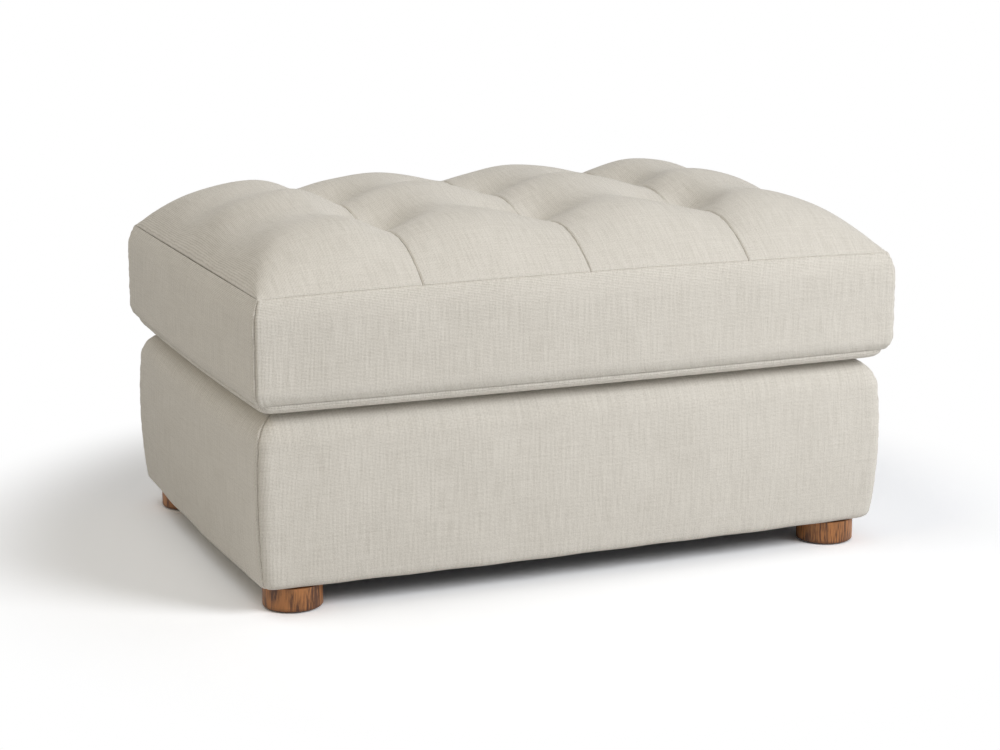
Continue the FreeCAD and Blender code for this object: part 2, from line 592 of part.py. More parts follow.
def spring_clips():
    """A clip for each spring end: a block screwed to the rail, with a bore for the end run."""
    outer = SPRING_WIRE / 2 + WIRE_CLEARANCE + CLIP_WALL
    clips = []
    for x in spring_places():
        for side in (-1, 1):
            y = side * clip_y()
            body = box(x - CLIP_WIDTH / 2, x + CLIP_WIDTH / 2, y - CLIP_DEPTH / 2, y + CLIP_DEPTH / 2,
                       FRAME_TOP_Z, FRAME_TOP_Z + CLIP_WALL)
            sleeve = rod(outer, (x - CLIP_WIDTH / 2, y, SPRING_Z), CLIP_WIDTH, (1, 0, 0))
            sleeve = sleeve.common(box(-FAR, FAR, -FAR, FAR, FRAME_TOP_Z, TIE_WIRE_Z + TIE_WIRE / 2))
            bore_start = (x - CLIP_WIDTH, y, SPRING_Z)
            bore = rod(SPRING_WIRE / 2 + WIRE_CLEARANCE, bore_start, 2 * CLIP_WIDTH, (1, 0, 0))
            clips.append(joined([body, sleeve]).cut(bore))
    return group(clips)


def tie_wires():
    reach = SPRING_SPREAD / 2 + SPRING_WIDTH / 2
    return group([rod(TIE_WIRE / 2, (-reach, side * TIE_WIRE_OFFSET, TIE_WIRE_Z), 2 * reach, (1, 0, 0))
                  for side in (-1, 1)])


# Feet

def foot(x, y):
    """A turned round foot with a recess for its felt glide and a hole for the hanger bolt."""
    bottom = GLIDE_THICKNESS - GLIDE_RECESS
    body = rod(FOOT_RADIUS, (x, y, bottom), FOOT_HEIGHT - bottom, (0, 0, 1))
    rims = [e for e in body.Edges
            if abs(e.BoundBox.ZMax - bottom) < 0.01 and abs(e.BoundBox.ZMin - bottom) < 0.01]
    body = body.makeFillet(FOOT_EDGE_ROUND, rims)
    recess = rod(GLIDE_RADIUS + GAP, (x, y, bottom - 1), GLIDE_RECESS + 1, (0, 0, 1))
    hole_z = FOOT_HEIGHT - BOLT_IN_FOOT - GAP
    hole = rod(BOLT_RADIUS + BOLT_CLEARANCE, (x, y, hole_z), FOOT_HEIGHT - hole_z + 1, (0, 0, 1))
    return body.cut([recess, hole])


def foot_fixings():
    """Felt glides, hanger bolts and the threaded inserts that the bolts turn into."""
    length = BOLT_IN_FOOT + (FRAME_BOTTOM_Z - FOOT_HEIGHT) + BOLT_IN_POST
    glides, bolts, inserts = [], [], []
    for x, y in FOOT_PLACES:
        glides.append(rod(GLIDE_RADIUS, (x, y, 0), GLIDE_THICKNESS, (0, 0, 1)))
        bolts.append(rod(BOLT_RADIUS, (x, y, FOOT_HEIGHT - BOLT_IN_FOOT), length, (0, 0, 1)))
        sleeve = rod(INSERT_RADIUS, (x, y, FRAME_BOTTOM_Z), INSERT_LENGTH, (0, 0, 1))
        flange = rod(INSERT_FLANGE_RADIUS, (x, y, FRAME_BOTTOM_Z), INSERT_FLANGE, (0, 0, 1))
        bore = rod(BOLT_RADIUS + BOLT_CLEARANCE / 2, (x, y, FRAME_BOTTOM_Z - 1), INSERT_LENGTH + 2, (0, 0, 1))
        inserts.append(joined([sleeve, flange]).cut(bore))
    return {"felt_glides": group(glides), "hanger_bolts": group(bolts), "threaded_inserts": group(inserts)}


# Cushion cover, filling, ties and zip

def zip_slit():
    """The space in the back border where the chain shows and the slider runs."""
    return box(-ZIP_LENGTH / 2, ZIP_LENGTH / 2, 0, FAR, ZIP_Z - ZIP_OPENING / 2, ZIP_Z + ZIP_OPENING / 2)


def zip_back_y():
    """Inner face of the zip tape, just inside the border's cloth at the ends of the zip."""
    share = 1 - (ZIP_LENGTH / 2 / CUSHION_HALF_LENGTH) ** 2
    return CUSHION_HALF_DEPTH + border_swell(ZIP_Z) + BORDER_BOW * share - CLOTH - 2 * GAP - ZIP_TAPE


def corner_wedge(side_x, side_y):
    """A wedge from the middle of the cushion out past one of its four sides, in plan."""
    reach = 3.0
    length, depth = CUSHION_HALF_LENGTH * reach, CUSHION_HALF_DEPTH * reach
    if side_x:
        corners = [(0, 0), (side_x * length, -depth), (side_x * length, depth)]
    else:
        corners = [(0, 0), (-length, side_y * depth), (length, side_y * depth)]
    low = [point(x, y, 0) for x, y in corners]
    return Part.Face(Part.makePolygon(low + [low[0]])).extrude(point(0, 0, FAR))


def cushion_cover():
    """Border panels and the bottom panel."""
    border = border_block(0.0).cut(border_block(CLOTH))
    back = border.common(corner_wedge(0, 1)).cut(zip_slit())
    split_z = box(-FAR, FAR, -FAR, FAR, ZIP_Z, FAR)
    return {"cushion_front_border": border.common(corner_wedge(0, -1)),
            "cushion_left_border": border.common(corner_wedge(-1, 0)),
            "cushion_right_border": border.common(corner_wedge(1, 0)),
            "cushion_back_border_upper": back.common(split_z),
            "cushion_back_border_lower": back.cut(split_z),
            "cushion_bottom_panel": roll_block(0.0).cut(roll_block(CLOTH))}


def tie_holes(low, high, radius):
    return [rod(radius, (x, y, low), high - low, (0, 0, 1)) for x, y in TUFTS]


def head_top_z():
    return TUFT_Z - CLOTH - 2 * GAP


def cushion_core():
    """The foam block inside the border, drilled for the ties and relieved for the zip."""
    hole = TIE_RADIUS + TIE_HOLE_CLEARANCE
    core = joined([border_block(CLOTH + GAP), roll_block(CLOTH + GAP)])
    core = core.common(box(-FAR, FAR, -FAR, FAR, 0, CORE_TOP_Z))
    relief_end = ZIP_LENGTH / 2 + ZIP_RELIEF
    relief = box(-relief_end, relief_end, zip_back_y() - CHAIN_DEPTH - GAP, FAR,
                 ZIP_Z - ZIP_OPENING / 2 - ZIP_TAPE_WIDTH, ZIP_Z + ZIP_OPENING / 2 + ZIP_TAPE_WIDTH)
    washers = tie_holes(CORE_BOTTOM_Z - 1, CORE_BOTTOM_Z + TIE_WASHER + GAP, TIE_WASHER_RADIUS + GAP)
    return core.cut([relief] + washers + tie_holes(CORE_BOTTOM_Z - 1, CORE_TOP_Z + 1, hole))


def fibre_topper():
    """The fibre wrap over the foam, which fills out the puffs."""
    topper = joined(crown(CLOTH + GAP, CORE_TOP_Z + GAP))
    hole = TIE_RADIUS + TIE_HOLE_CLEARANCE
    head_z = head_top_z() - TIE_HEAD - GAP
    return topper.cut(tie_holes(CORE_TOP_Z, FAR, hole) + tie_holes(head_z, FAR, TIE_HEAD_RADIUS + GAP))


def tuft_ties():
    """Six ties, each with a washer under the foam and a flat head under the top panel."""
    ties = []
    for x, y in TUFTS:
        cord = rod(TIE_RADIUS, (x, y, CORE_BOTTOM_Z), head_top_z() - CORE_BOTTOM_Z, (0, 0, 1))
        head = rod(TIE_HEAD_RADIUS, (x, y, head_top_z() - TIE_HEAD), TIE_HEAD, (0, 0, 1))
        washer = rod(TIE_WASHER_RADIUS, (x, y, CORE_BOTTOM_Z), TIE_WASHER, (0, 0, 1))
        ties.append(joined([cord, head, washer]))
    return group(ties)


def zip_tapes():
    y = zip_back_y()
    inner, outer = CHAIN_WIDTH / 2 - ZIP_TAPE_LAP, ZIP_OPENING / 2 + ZIP_TAPE_WIDTH - GAP
    upper = box(-ZIP_LENGTH / 2, ZIP_LENGTH / 2, y, y + ZIP_TAPE, ZIP_Z + inner, ZIP_Z + outer)
    lower = box(-ZIP_LENGTH / 2, ZIP_LENGTH / 2, y, y + ZIP_TAPE, ZIP_Z - outer, ZIP_Z - inner)
    return group([upper, lower])


def zip_chain():
    y = zip_back_y() + ZIP_TAPE
    half = CHAIN_WIDTH / 2
    return box(-ZIP_LENGTH / 2, ZIP_LENGTH / 2, y, y + CHAIN_DEPTH, ZIP_Z - half, ZIP_Z + half)


def slider_outer_y():
    return zip_back_y() + ZIP_TAPE + CHAIN_DEPTH + SLIDER_CLEARANCE + SLIDER_WALL


def slider_start_x():
    return -ZIP_LENGTH / 2 + SLIDER_LENGTH


def zip_slider():
    """The slider at the closed end: a channel over the chain, with a bridge for the pull."""
    x0, x1 = slider_start_x() - SLIDER_LENGTH / 2, slider_start_x() + SLIDER_LENGTH / 2
    chain_y = zip_back_y() + ZIP_TAPE
    outer = slider_outer_y()
    body = box(x0, x1, chain_y + SLIDER_CLEARANCE, outer, ZIP_Z - SLIDER_WIDTH / 2, ZIP_Z + SLIDER_WIDTH / 2)
    channel_half = CHAIN_WIDTH / 2 + SLIDER_CLEARANCE
    channel = box(x0 - 1, x1 + 1, chain_y - 1, outer - SLIDER_WALL,
                  ZIP_Z - channel_half, ZIP_Z + channel_half)
    bar = rod(CROWN_WIRE / 2, (x0 + CROWN_INSET, outer + CROWN_HEIGHT - CROWN_WIRE / 2, ZIP_Z),
              SLIDER_LENGTH - 2 * CROWN_INSET, (1, 0, 0))
    leg_places = (x0 + CROWN_INSET, x1 - CROWN_INSET - CROWN_WIRE)
    legs = [box(x, x + CROWN_WIRE, outer - SLIDER_WALL / 2, outer + CROWN_HEIGHT - CROWN_WIRE / 2,
                ZIP_Z - CROWN_WIRE / 2, ZIP_Z + CROWN_WIRE / 2) for x in leg_places]
    return joined([body.cut(channel), bar] + legs)


def pull_pivot():
    return slider_start_x(), slider_outer_y() + CROWN_HEIGHT - CROWN_WIRE / 2, ZIP_Z


def zip_pull():
    """The pull, hanging from the slider's bridge by its eye."""
    x, y, z = pull_pivot()
    eye = CROWN_WIRE / 2 + PULL_EYE_CLEARANCE
    ring = rod(eye + PULL_EYE_WALL, (x - PULL_THICKNESS, y, z), 2 * PULL_THICKNESS, (1, 0, 0))
    tab = box(x - PULL_WIDTH / 2, x + PULL_WIDTH / 2, y - PULL_THICKNESS / 2, y + PULL_THICKNESS / 2,
              z - PULL_LENGTH, z - SLIDER_WIDTH / 2)
    neck = box(x - PULL_THICKNESS, x + PULL_THICKNESS, y - PULL_THICKNESS / 2, y + PULL_THICKNESS / 2,
               z - SLIDER_WIDTH / 2 - 1, z - eye)
    corners = [e for e in tab.Edges if e.BoundBox.YLength > PULL_THICKNESS / 2]
    tab = tab.makeFillet(PULL_WIDTH / 4, corners)
    bore = rod(eye, (x - PULL_WIDTH, y, z), 2 * PULL_WIDTH, (1, 0, 0))
    return joined([ring, neck, tab]).cut(bore)


def all_parts():
    """Every node's name and shape."""
    parts = {}
    parts.update(frame_parts())
    parts.update(facing_boards())
    parts["zigzag_springs"] = group([zigzag_spring(x) for x in spring_places()])
    parts["spring_clips"] = spring_clips()
    parts["spring_tie_wires"] = tie_wires()
    parts["deck_hessian"] = deck_hessian()
    parts.update(base_padding())
    parts.update(base_covers())
    parts["dust_cover"] = dust_cover()
    for (x, y) in FOOT_PLACES:
        name = ("back" if y > 0 else "front") + ("_right" if x > 0 else "_left")
        parts["foot_" + name] = foot(x, y)
    parts.update(foot_fixings())
    parts.update(top_strips())
    parts.update(cushion_cover())
    parts["cushion_foam_core"] = cushion_core()
    parts["cushion_fibre_topper"] = fibre_topper()
    parts["tuft_ties"] = tuft_ties()
    parts["zip_tapes"] = zip_tapes()
    parts["zip_chain"] = zip_chain()
    parts["zip_slider"] = zip_slider()
    parts["zip_pull"] = zip_pull()
    return parts


os.makedirs("parts", exist_ok=True)
for node, shape in all_parts().items():
    bounds = shape.BoundBox
    print(f"{node}: {len(shape.Solids)} solid(s), {shape.Volume / 1000:.1f} cm3, "
          f"{bounds.XLength:.1f} x {bounds.YLength:.1f} x {bounds.ZLength:.1f}, valid {shape.isValid()}")
    shape.exportStep(os.path.join("parts", node + ".step"))
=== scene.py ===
import math

import bmesh
import bpy
import numpy as np
from bpy.props import FloatProperty, FloatVectorProperty, PointerProperty
from mathutils import Euler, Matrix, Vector


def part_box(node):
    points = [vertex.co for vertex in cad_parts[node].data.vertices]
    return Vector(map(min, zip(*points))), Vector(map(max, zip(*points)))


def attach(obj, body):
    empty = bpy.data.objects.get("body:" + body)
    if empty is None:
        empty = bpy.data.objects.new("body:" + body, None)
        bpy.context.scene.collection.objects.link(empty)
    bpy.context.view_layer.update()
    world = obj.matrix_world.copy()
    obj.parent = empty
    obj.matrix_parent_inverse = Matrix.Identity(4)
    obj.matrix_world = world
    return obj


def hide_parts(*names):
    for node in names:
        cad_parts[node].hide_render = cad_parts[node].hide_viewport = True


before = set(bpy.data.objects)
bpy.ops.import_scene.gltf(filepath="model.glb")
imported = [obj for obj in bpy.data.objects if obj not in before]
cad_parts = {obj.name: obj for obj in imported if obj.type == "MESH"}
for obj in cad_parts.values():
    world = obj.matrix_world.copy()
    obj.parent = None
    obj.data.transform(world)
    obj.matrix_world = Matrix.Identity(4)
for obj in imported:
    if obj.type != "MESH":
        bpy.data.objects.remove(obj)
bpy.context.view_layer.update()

bl_info = {
    "name": "Tufted Footstool",
    "version": (1, 0, 0),
    "blender": (4, 5, 0),
    "location": "3D View > Sidebar > Footstool",
    "description": "Models an upholstered footstool with a loose tufted cushion around its frame",
    "category": "Add Mesh",
}


# Places that the frame gives, in metres

def top_of(node):
    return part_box(node)[1].z


def bottom_of(node):
    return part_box(node)[0].z


DECK_Z = top_of("deck_panel")
COVER_BOTTOM_Z = bottom_of("base_front_cover")
UPPER_SEAM_Z = top_of("cushion_front_border")
LOWER_SEAM_Z = bottom_of("cushion_front_border")
CUSHION_BOTTOM_Z = bottom_of("cushion_bottom_panel")
STRIP_SEAM_X = -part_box("cushion_top_strip_left")[1].x
CUSHION_HALF_LENGTH = -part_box("cushion_top_strip_left")[0].x
ZIP_Z = (bottom_of("zip_chain") + top_of("zip_chain")) / 2
ZIP_HALF_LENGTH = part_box("zip_chain")[1].x
TIE_WASHER_RADIUS = 0.012
TUFT_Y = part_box("tuft_ties")[1].y - TIE_WASHER_RADIUS


def length(name, description, default):
    return FloatProperty(name=name, description=description, default=default, unit="LENGTH", precision=4)


def number(name, description, default, unit="NONE"):
    return FloatProperty(name=name, description=description, default=default, unit=unit)


def colour(name, description, default):
    return FloatVectorProperty(name=name, description=description, default=default, subtype="COLOR",
                               size=3, min=0.0, max=1.0)


class CushionSizes(bpy.types.PropertyGroup):
    """Sizes of the loose cushion."""
    half_depth: length("Half Depth", "Middle to the front and back seams, at the corners", 0.284)
    border_swell: length("Border Swell", "How far the border stands out from its seams", 0.0095)
    upper_shoulder: length("Upper Shoulder", "Height over which it swells, under the upper seam", 0.036)
    lower_shoulder: length("Lower Shoulder", "The same over the lower seam", 0.018)
    border_bow: length("Border Bow", "Swell of each border in plan, between its corners", 0.0055)
    corner_round: length("Corner Round", "Plan radius of the border's corners at mid height", 0.010)
    roll_width: length("Roll Width", "How far in the bottom panel reaches the deck", 0.034)
    tuft_rise: length("Tuft Rise", "Bottom of a tuft, above the upper seam", 0.026)
    seam_crest: length("Seam Crest", "Front and back rows along a strip's seam", 0.048)
    seam_middle_crest: length("Seam Middle Crest", "Middle row along a strip's seam", 0.054)
    puff_crest: length("Puff Crest", "Front and back rows in mid strip", 0.069)
    puff_middle_crest: length("Puff Middle Crest", "Middle row in mid strip", 0.079)
    valley_rise: length("Valley Rise", "Soft valley between two rows in mid strip", 0.0665)
    crest_run: length("Crest Run", "Front seam to the front row's crest in mid strip", 0.125)
    seam_crest_run: length("Seam Crest Run", "The same along a strip's seam", 0.100)
    end_crest_run: length("End Crest Run", "The same along the end seam", 0.035)
    seam_bow: length("Seam Bow", "How far the front and back seams bow up in mid length", 0.0045)
    filling_room: length("Filling Room", "Outer face of the cover to the filling under it", 0.007)


class BaseSizes(bpy.types.PropertyGroup):
    """Sizes of the padded base."""
    half_length: length("Half Length", "Middle to the widest outline at the ends", 0.415)
    half_depth: length("Half Depth", "Middle to the widest outline at the front", 0.280)
    bow: length("Bow", "Swell of each side in plan", 0.005)
    widest_z: length("Widest Height", "Height at which the sides are widest", 0.140)
    swell: length("Swell", "How far the sides draw in towards the bottom", 0.007)
    top_round: length("Top Round", "Radius of the padded top edges", 0.040)
    bottom_round: length("Bottom Round", "Radius of the padded bottom edges", 0.012)
    corner_round: length("Corner Round", "Plan radius of the padded corners", 0.017)
    deck_seam_x: length("Deck Seam X", "Outline to the deck panel's seam at the ends", 0.042)
    deck_seam_y: length("Deck Seam Y", "Outline to the deck panel's seam at the front", 0.055)
    padding_room: length("Padding Room", "Outer face of the cover to the padding under it", 0.0050)
    fold_width: length("Fold Width", "Outline to the cut edge of the cloth turned in under the rails", 0.070)


class ClothLook(bpy.types.PropertyGroup):
    """Cloth, seams and folds."""
    thickness: length("Thickness", "Cloth with its backing", 0.002)
    seam_depth: length("Seam Depth", "How far the cloth turns in at a seam", 0.0026)
    end_seam_depth: length("End Seam Depth", "The same at the upper seams of the cushion's ends", 0.0008)
    pucker: length("Pucker", "Height of the small gathers beside a seam", 0.0005)
    unevenness: length("Unevenness", "Height of the soft waves in the padding", 0.0009)
    allowance: length("Allowance", "Seam to the line that its turned-in edge shows", 0.0065)
    allowance_depth: length("Allowance Depth", "Depth of that line", 0.0005)
    thread: length("Thread", "Distance from one thread to the next", 0.0016)
    # The two thread colours are the ends of one ramp, which also carries the painted shade in the hollows of
    # the weave.
    light_colour: colour("Light Thread", "The lighter threads", (0.800, 0.778, 0.735))
    dark_colour: colour("Dark Thread", "The darker threads", (0.510, 0.487, 0.440))


class WoodLook(bpy.types.PropertyGroup):
    """Finish of the turned feet."""
    light_colour: colour("Light Grain", "The pale bands of the oak", (0.440, 0.182, 0.060))
    dark_colour: colour("Dark Grain", "The dark lines of the oak", (0.085, 0.030, 0.011))


class StageLook(bpy.types.PropertyGroup):
    """Camera, lamps and floor."""
    key_power: number("Key Power", "Large soft lamp from the front right", 121.0, "POWER")
    fill_power: number("Fill Power", "Weak warm lamp from the left", 11.0, "POWER")
    top_power: number("Top Power", "Soft lamp above the stool, to its left", 14.0, "POWER")
    world_strength: number("World Strength", "Even light all round", 0.250)
    lens: number("Lens", "Focal length in millimetres", 85.0, "CAMERA")


# Meshes

def deselect_all():
    for obj in bpy.context.selected_objects:
        obj.select_set(False)


def make_active(obj):
    deselect_all()
    obj.select_set(True)
    bpy.context.view_layer.objects.active = obj


def apply_modifiers(obj):
    make_active(obj)
    for modifier in list(obj.modifiers):
        bpy.ops.object.modifier_apply(modifier=modifier.name)


CLOTH_SMOOTH_DEGREES = 60.0
PADDING_SMOOTH_DEGREES = 40.0


def smooth(obj, degrees=CLOTH_SMOOTH_DEGREES):
    make_active(obj)
    bpy.ops.object.shade_smooth_by_angle(angle=math.radians(degrees))


def linked(name, data):
    """A new object in the scene."""
    made = bpy.data.objects.new(name, data)
    bpy.context.scene.collection.objects.link(made)
    return made


def add_wall(made, thickness, offset):
    """Gives a sheet its thickness and closes its edges."""
    wall = made.modifiers.new("thickness", "SOLIDIFY")
    wall.thickness = thickness
    wall.offset = offset
    wall.use_rim = True
    apply_modifiers(made)
    smooth(made)


def hand_over(made, body, node_name, slot):
    """Gives a piece its finish, makes it ride on its body, and hides the CAD piece that it stands for."""
    made.data.materials.append(finish_of(slot))
    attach(made, body)
    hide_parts(node_name)


def grid_quads(rows, columns):
    """The numbers of a grid's points, and the quads between each four neighbouring ones."""
    index = np.arange(rows * columns).reshape(rows, columns)
    quads = np.stack([index[:-1, :-1], index[:-1, 1:], index[1:, 1:], index[1:, :-1]], axis=-1).reshape(-1, 4)
    return index, quads


def grid_object(name, points, cloth_u, cloth_v):
    """An object with one quad between each four neighbouring points, and cloth coordinates in metres."""
    shape = points.shape[:2]
    quads = grid_quads(*shape)[1]
    mesh = bpy.data.meshes.new(name)
    mesh.from_pydata(points.reshape(-1, 3).tolist(), [], quads.tolist())
    cloth_map = mesh.uv_layers.new(name="cloth")
    flat = np.stack([np.broadcast_to(cloth_u, shape), np.broadcast_to(cloth_v, shape)], axis=-1)
    corners = flat.reshape(-1, 2)[quads.reshape(-1)]
    cloth_map.data.foreach_set("uv", corners.astype(np.float32).ravel())
    return linked(name, mesh)


def outward_normals(points):
    """Unit normals of a grid of points."""
    along_rows = np.gradient(points, axis=0)
    along_columns = np.gradient(points, axis=1)
    normals = np.cross(along_columns, along_rows)
    return normals / np.maximum(np.linalg.norm(normals, axis=-1, keepdims=True), 1e-12)


# Degrees through which an edge turns into its seam, then the finer rows beside it.
SEAM_TURNS = (0.0, 20.0, 40.0, 60.0, 90.0)
FINE_ROWS = 7
FINE_STEP = 0.0012


def spread(total, step, seam):
    """Distances across a panel: close together where each edge rolls into its seam, even between."""
    turns = np.radians(SEAM_TURNS)
    fine = seam + np.arange(1, FINE_ROWS + 1) * FINE_STEP
    edge = np.concatenate([seam * (1 - np.cos(turns)), fine])
    count = max(int(round((total - 2 * edge[-1]) / step)), 2)
    inner = np.linspace(edge[-1], total - edge[-1], count + 1)[1:-1]
    return np.concatenate([edge, inner, total - edge[::-1]])


def seam_roll(distance, seam):
    """Depth to which the cloth turns in at this distance from its seam: a quarter circle."""
    near = np.clip(1 - distance / seam, 0.0, 1.0)
    return seam * (1 - np.sqrt(np.maximum(1 - near ** 2, 0.0)))


def ripple(along, size, phase):
    """An uneven wave along a seam, between about -1 and 1."""
    turn = 2 * math.pi * along / size + phase
    return (np.sin(turn) + 0.6 * np.sin(1.73 * turn + 1.3) + 0.4 * np.sin(0.41 * turn + 2.1)) / 2


def padding_waves(points):
    """Soft waves in the padding under a panel, between about -1 and 1."""
    x, y, z = points[..., 0], points[..., 1], points[..., 2]
    return (np.sin(41 * x + 23 * z + 0.7) * np.cos(37 * y - 29 * z) + 0.7 * np.sin(67 * x - 31 * y + 2.0)
            + 0.5 * np.cos(59 * z + 47 * y + 19 * x)) / 2


# Gathers swell up just beside a seam and fade away from it. The pressed line of the seam
# allowance lies a little further in, and the soft waves of the cloth fade out towards the seam.
GATHER_SIZES = (0.021, 0.0083)
GATHER_START = 0.0015
GATHER_REACH = 0.009
ALLOWANCE_LINE = 0.0011
ALLOWANCE_WANDER = 0.0004
ALLOWANCE_WANDER_RUN = 0.05
WAVE_FADE = 0.03


class Panel:
    """One cut panel of the cover, on its way from a smooth outline to a finished piece."""

    def __init__(self, name, points, along, across, look):
        self.name = name
        self.points = points
        self.normals = outward_normals(points)
        self.along = along
        self.across = across
        self.look = look
        self.inward = np.zeros(points.shape[:2])

    def seam(self, distance, run, depth=None, pucker=None, phase=0.0):
        """Turns an edge into its seam, with small gathers beside it."""
        depth = self.look.seam_depth if depth is None else depth
        pucker = self.look.pucker if pucker is None else pucker
        self.inward += seam_roll(distance, depth)
        fade = np.exp(-distance / GATHER_REACH) * np.clip(distance / GATHER_START, 0.0, 1.0)
        wide, narrow = GATHER_SIZES
        gathers = 0.6 + ripple(run, wide, phase) + 0.5 * ripple(run, narrow, phase + 1.0)
        self.inward -= pucker * fade * gathers

    def allowance(self, distance, run, phase=0.0):
        """Presses in the faint line that the turned-in edge of a seam leaves beside it."""
        wander = ALLOWANCE_WANDER * ripple(run, ALLOWANCE_WANDER_RUN, phase)
        line = np.exp(-((distance - self.look.allowance - wander) / ALLOWANCE_LINE) ** 2)
        self.inward += self.look.allowance_depth * line

    def waves(self, distance):
        """Soft waves in the padding that fade out at the seams."""
        fade = 1 - np.exp(-(distance / WAVE_FADE) ** 2)
        self.inward -= self.look.unevenness * fade * padding_waves(self.points)

    def finish(self, body, node_name, fill):
        """Makes the panel a closed piece of cloth that rides on its body."""
        moved = self.points - self.normals * self.inward[..., None]
        made = grid_object(self.name, moved, self.along, self.across)
        add_wall(made, self.look.thickness, -1.0)
        hand_over(made, body, node_name, "cover_cloth")


def filling(name, faces_of_points, body, node_name, slot):
    """A closed block of padding from its points and faces, which rides on its body."""
    points, faces = faces_of_points
    mesh = bpy.data.meshes.new(name)
    mesh.from_pydata(points.tolist(), [], faces)
    shape = bmesh.new()
    shape.from_mesh(mesh)
    bmesh.ops.recalc_face_normals(shape, faces=shape.faces)
    shape.to_mesh(mesh)
    shape.free()
    made = linked(name, mesh)
    smooth(made, PADDING_SMOOTH_DEGREES)
    hand_over(made, body, node_name, slot)


def between(outer, inner):
    """Points and faces of a block between two grids of the same shape."""
    index, quads = grid_quads(*outer.shape[:2])
    shift = index.size
    rim = np.concatenate([index[0, :], index[1:, -1], index[-1, -2::-1], index[-2:0:-1, 0]])
    after = np.roll(rim, -1)
    walls = np.stack([rim, after, after + shift, rim + shift], axis=-1)
    faces = np.concatenate([quads, quads[:, ::-1] + shift, walls])
    return np.concatenate([outer.reshape(-1, 3), inner.reshape(-1, 3)]), faces.tolist()


def lofted(rings):
    """Points and faces of a block through closed rings, with a flat face at each end."""
    levels, count = rings.shape[:2]
    index = np.arange(levels * count).reshape(levels, count)
    after = np.roll(index, -1, axis=1)
    walls = np.stack([index[:-1], after[:-1], after[1:], index[1:]], axis=-1).reshape(-1, 4)
    return rings.reshape(-1, 3), walls.tolist() + [index[0].tolist(), index[-1].tolist()]


# Points along a side, before they are spaced again: round its corner and along its flat part.
CORNER_POINTS = 10
FLAT_POINTS = 40


def side_path(half_run, half_out, bow, corner, sweep, distances_of):
    """Points along one side in plan, from corner seam to corner seam, as (run, out), and their distances.

    The side swells by its bow and turns by the sweep at each end, on a corner of that radius."""
    turns = np.linspace(math.radians(sweep), 0.0, CORNER_POINTS)
    arc_run = half_run - corner + corner * np.sin(turns)
    arc_out = half_out - corner + corner * np.cos(turns)
    flat_run = np.linspace(half_run - corner, 0.0, FLAT_POINTS)[1:]
    flat_out = half_out + bow * (1 - (flat_run / max(half_run - corner, 1e-6)) ** 2)
    run = np.concatenate([-arc_run, -flat_run])
    out = np.concatenate([arc_out, flat_out])
    run = np.concatenate([run, -run[::-1][1:]])
    out = np.concatenate([out, out[::-1][1:]])
    travelled = np.concatenate([[0.0], np.cumsum(np.hypot(np.diff(run), np.diff(out)))])
    wanted = distances_of(travelled[-1])
    return np.interp(wanted, travelled, run), np.interp(wanted, travelled, out), wanted


SIDES = {"front": 0, "right": 1, "back": 2, "left": 3}


def placed(side, run, out, z):
    """Points of a side, from their run along it, seen from outside, and their distance from the middle."""
    if side == "front":
        return np.stack([run, -out, z], axis=-1)
    if side == "back":
        return np.stack([-run, out, z], axis=-1)
    if side == "left":
        return np.stack([-out, -run, z], axis=-1)
    return np.stack([out, run, z], axis=-1)


# Materials

def node(tree, kind, inputs=None, **settings):
    """Adds a node. Each input is a value or another node's socket."""
    made = tree.nodes.new(kind)
    for key, value in settings.items():
        setattr(made, key, value)
    for key, value in (inputs or {}).items():
        if isinstance(value, bpy.types.NodeSocket):
            tree.links.new(value, made.inputs[key])
        else:
            made.inputs[key].default_value = value
    return made


def math_node(tree, operation, first, second=0.0, third=0.0):
    return node(tree, "ShaderNodeMath", {0: first, 1: second, 2: third}, operation=operation).outputs[0]


# Places of the mix node's colour sockets, which share their names with its other sockets.
MIX_SHARE, MIX_FIRST, MIX_SECOND, MIX_RESULT = 0, 6, 7, 2


def mixed(tree, share, first, second):
    """Two colours mixed by a share."""
    inputs = {MIX_SHARE: share, MIX_FIRST: first, MIX_SECOND: second}
    return node(tree, "ShaderNodeMix", inputs, data_type="RGBA").outputs[MIX_RESULT]


def ramp(tree, share, stops):
    """A colour ramp through pairs of place and colour."""
    made = node(tree, "ShaderNodeValToRGB", {"Fac": share})
    elements = made.color_ramp.elements
    while len(elements) < len(stops):
        elements.new(0.5)
    for element, (place, shade) in zip(elements, stops):
        element.position = place
        element.color = shade
    return made.outputs["Color"]


def opaque(shade):
    return (shade[0], shade[1], shade[2], 1.0)


def dimmed(shade, share):
    return tuple(channel * share for channel in shade)


FINISH = "_finish"


def finish_of(slot):
    """The material made here for one of the record's slots."""
    return bpy.data.materials[slot + FINISH]


SHEEN_ROUGHNESS = 0.5


def new_material(name, roughness, metallic=0.0, sheen=0.0):
    """Makes a material with plain values on its shader, and gives back its tree and its shader."""
    made = bpy.data.materials.new(name + FINISH)
    made.use_nodes = True
    shader = made.node_tree.nodes["Principled BSDF"]
    shader.inputs["Roughness"].default_value = roughness
    shader.inputs["Metallic"].default_value = metallic
    shader.inputs["Sheen Weight"].default_value = sheen
    shader.inputs["Sheen Roughness"].default_value = SHEEN_ROUGHNESS
    return made.node_tree, shader


def paint(tree, shader, shade, height, distance, strength):
    """Links the colour and the height of the surface's relief."""
    tree.links.new(shade, shader.inputs["Base Color"])
    bump = node(tree, "ShaderNodeBump", {"Height": height, "Distance": distance, "Strength": strength})
    tree.links.new(bump.outputs["Normal"], shader.inputs["Normal"])


def noise(tree, vector, scale, detail=2.0, roughness=0.5):
    return node(tree, "ShaderNodeTexNoise", {"Vector": vector, "Scale": scale, "Detail": detail,
                                             "Roughness": roughness}).outputs["Fac"]


def stretched(tree, vector, scale):
    return node(tree, "ShaderNodeMapping", {"Vector": vector, "Scale": scale}).outputs["Vector"]


def object_place(tree):
    return node(tree, "ShaderNodeTexCoord").outputs["Object"]


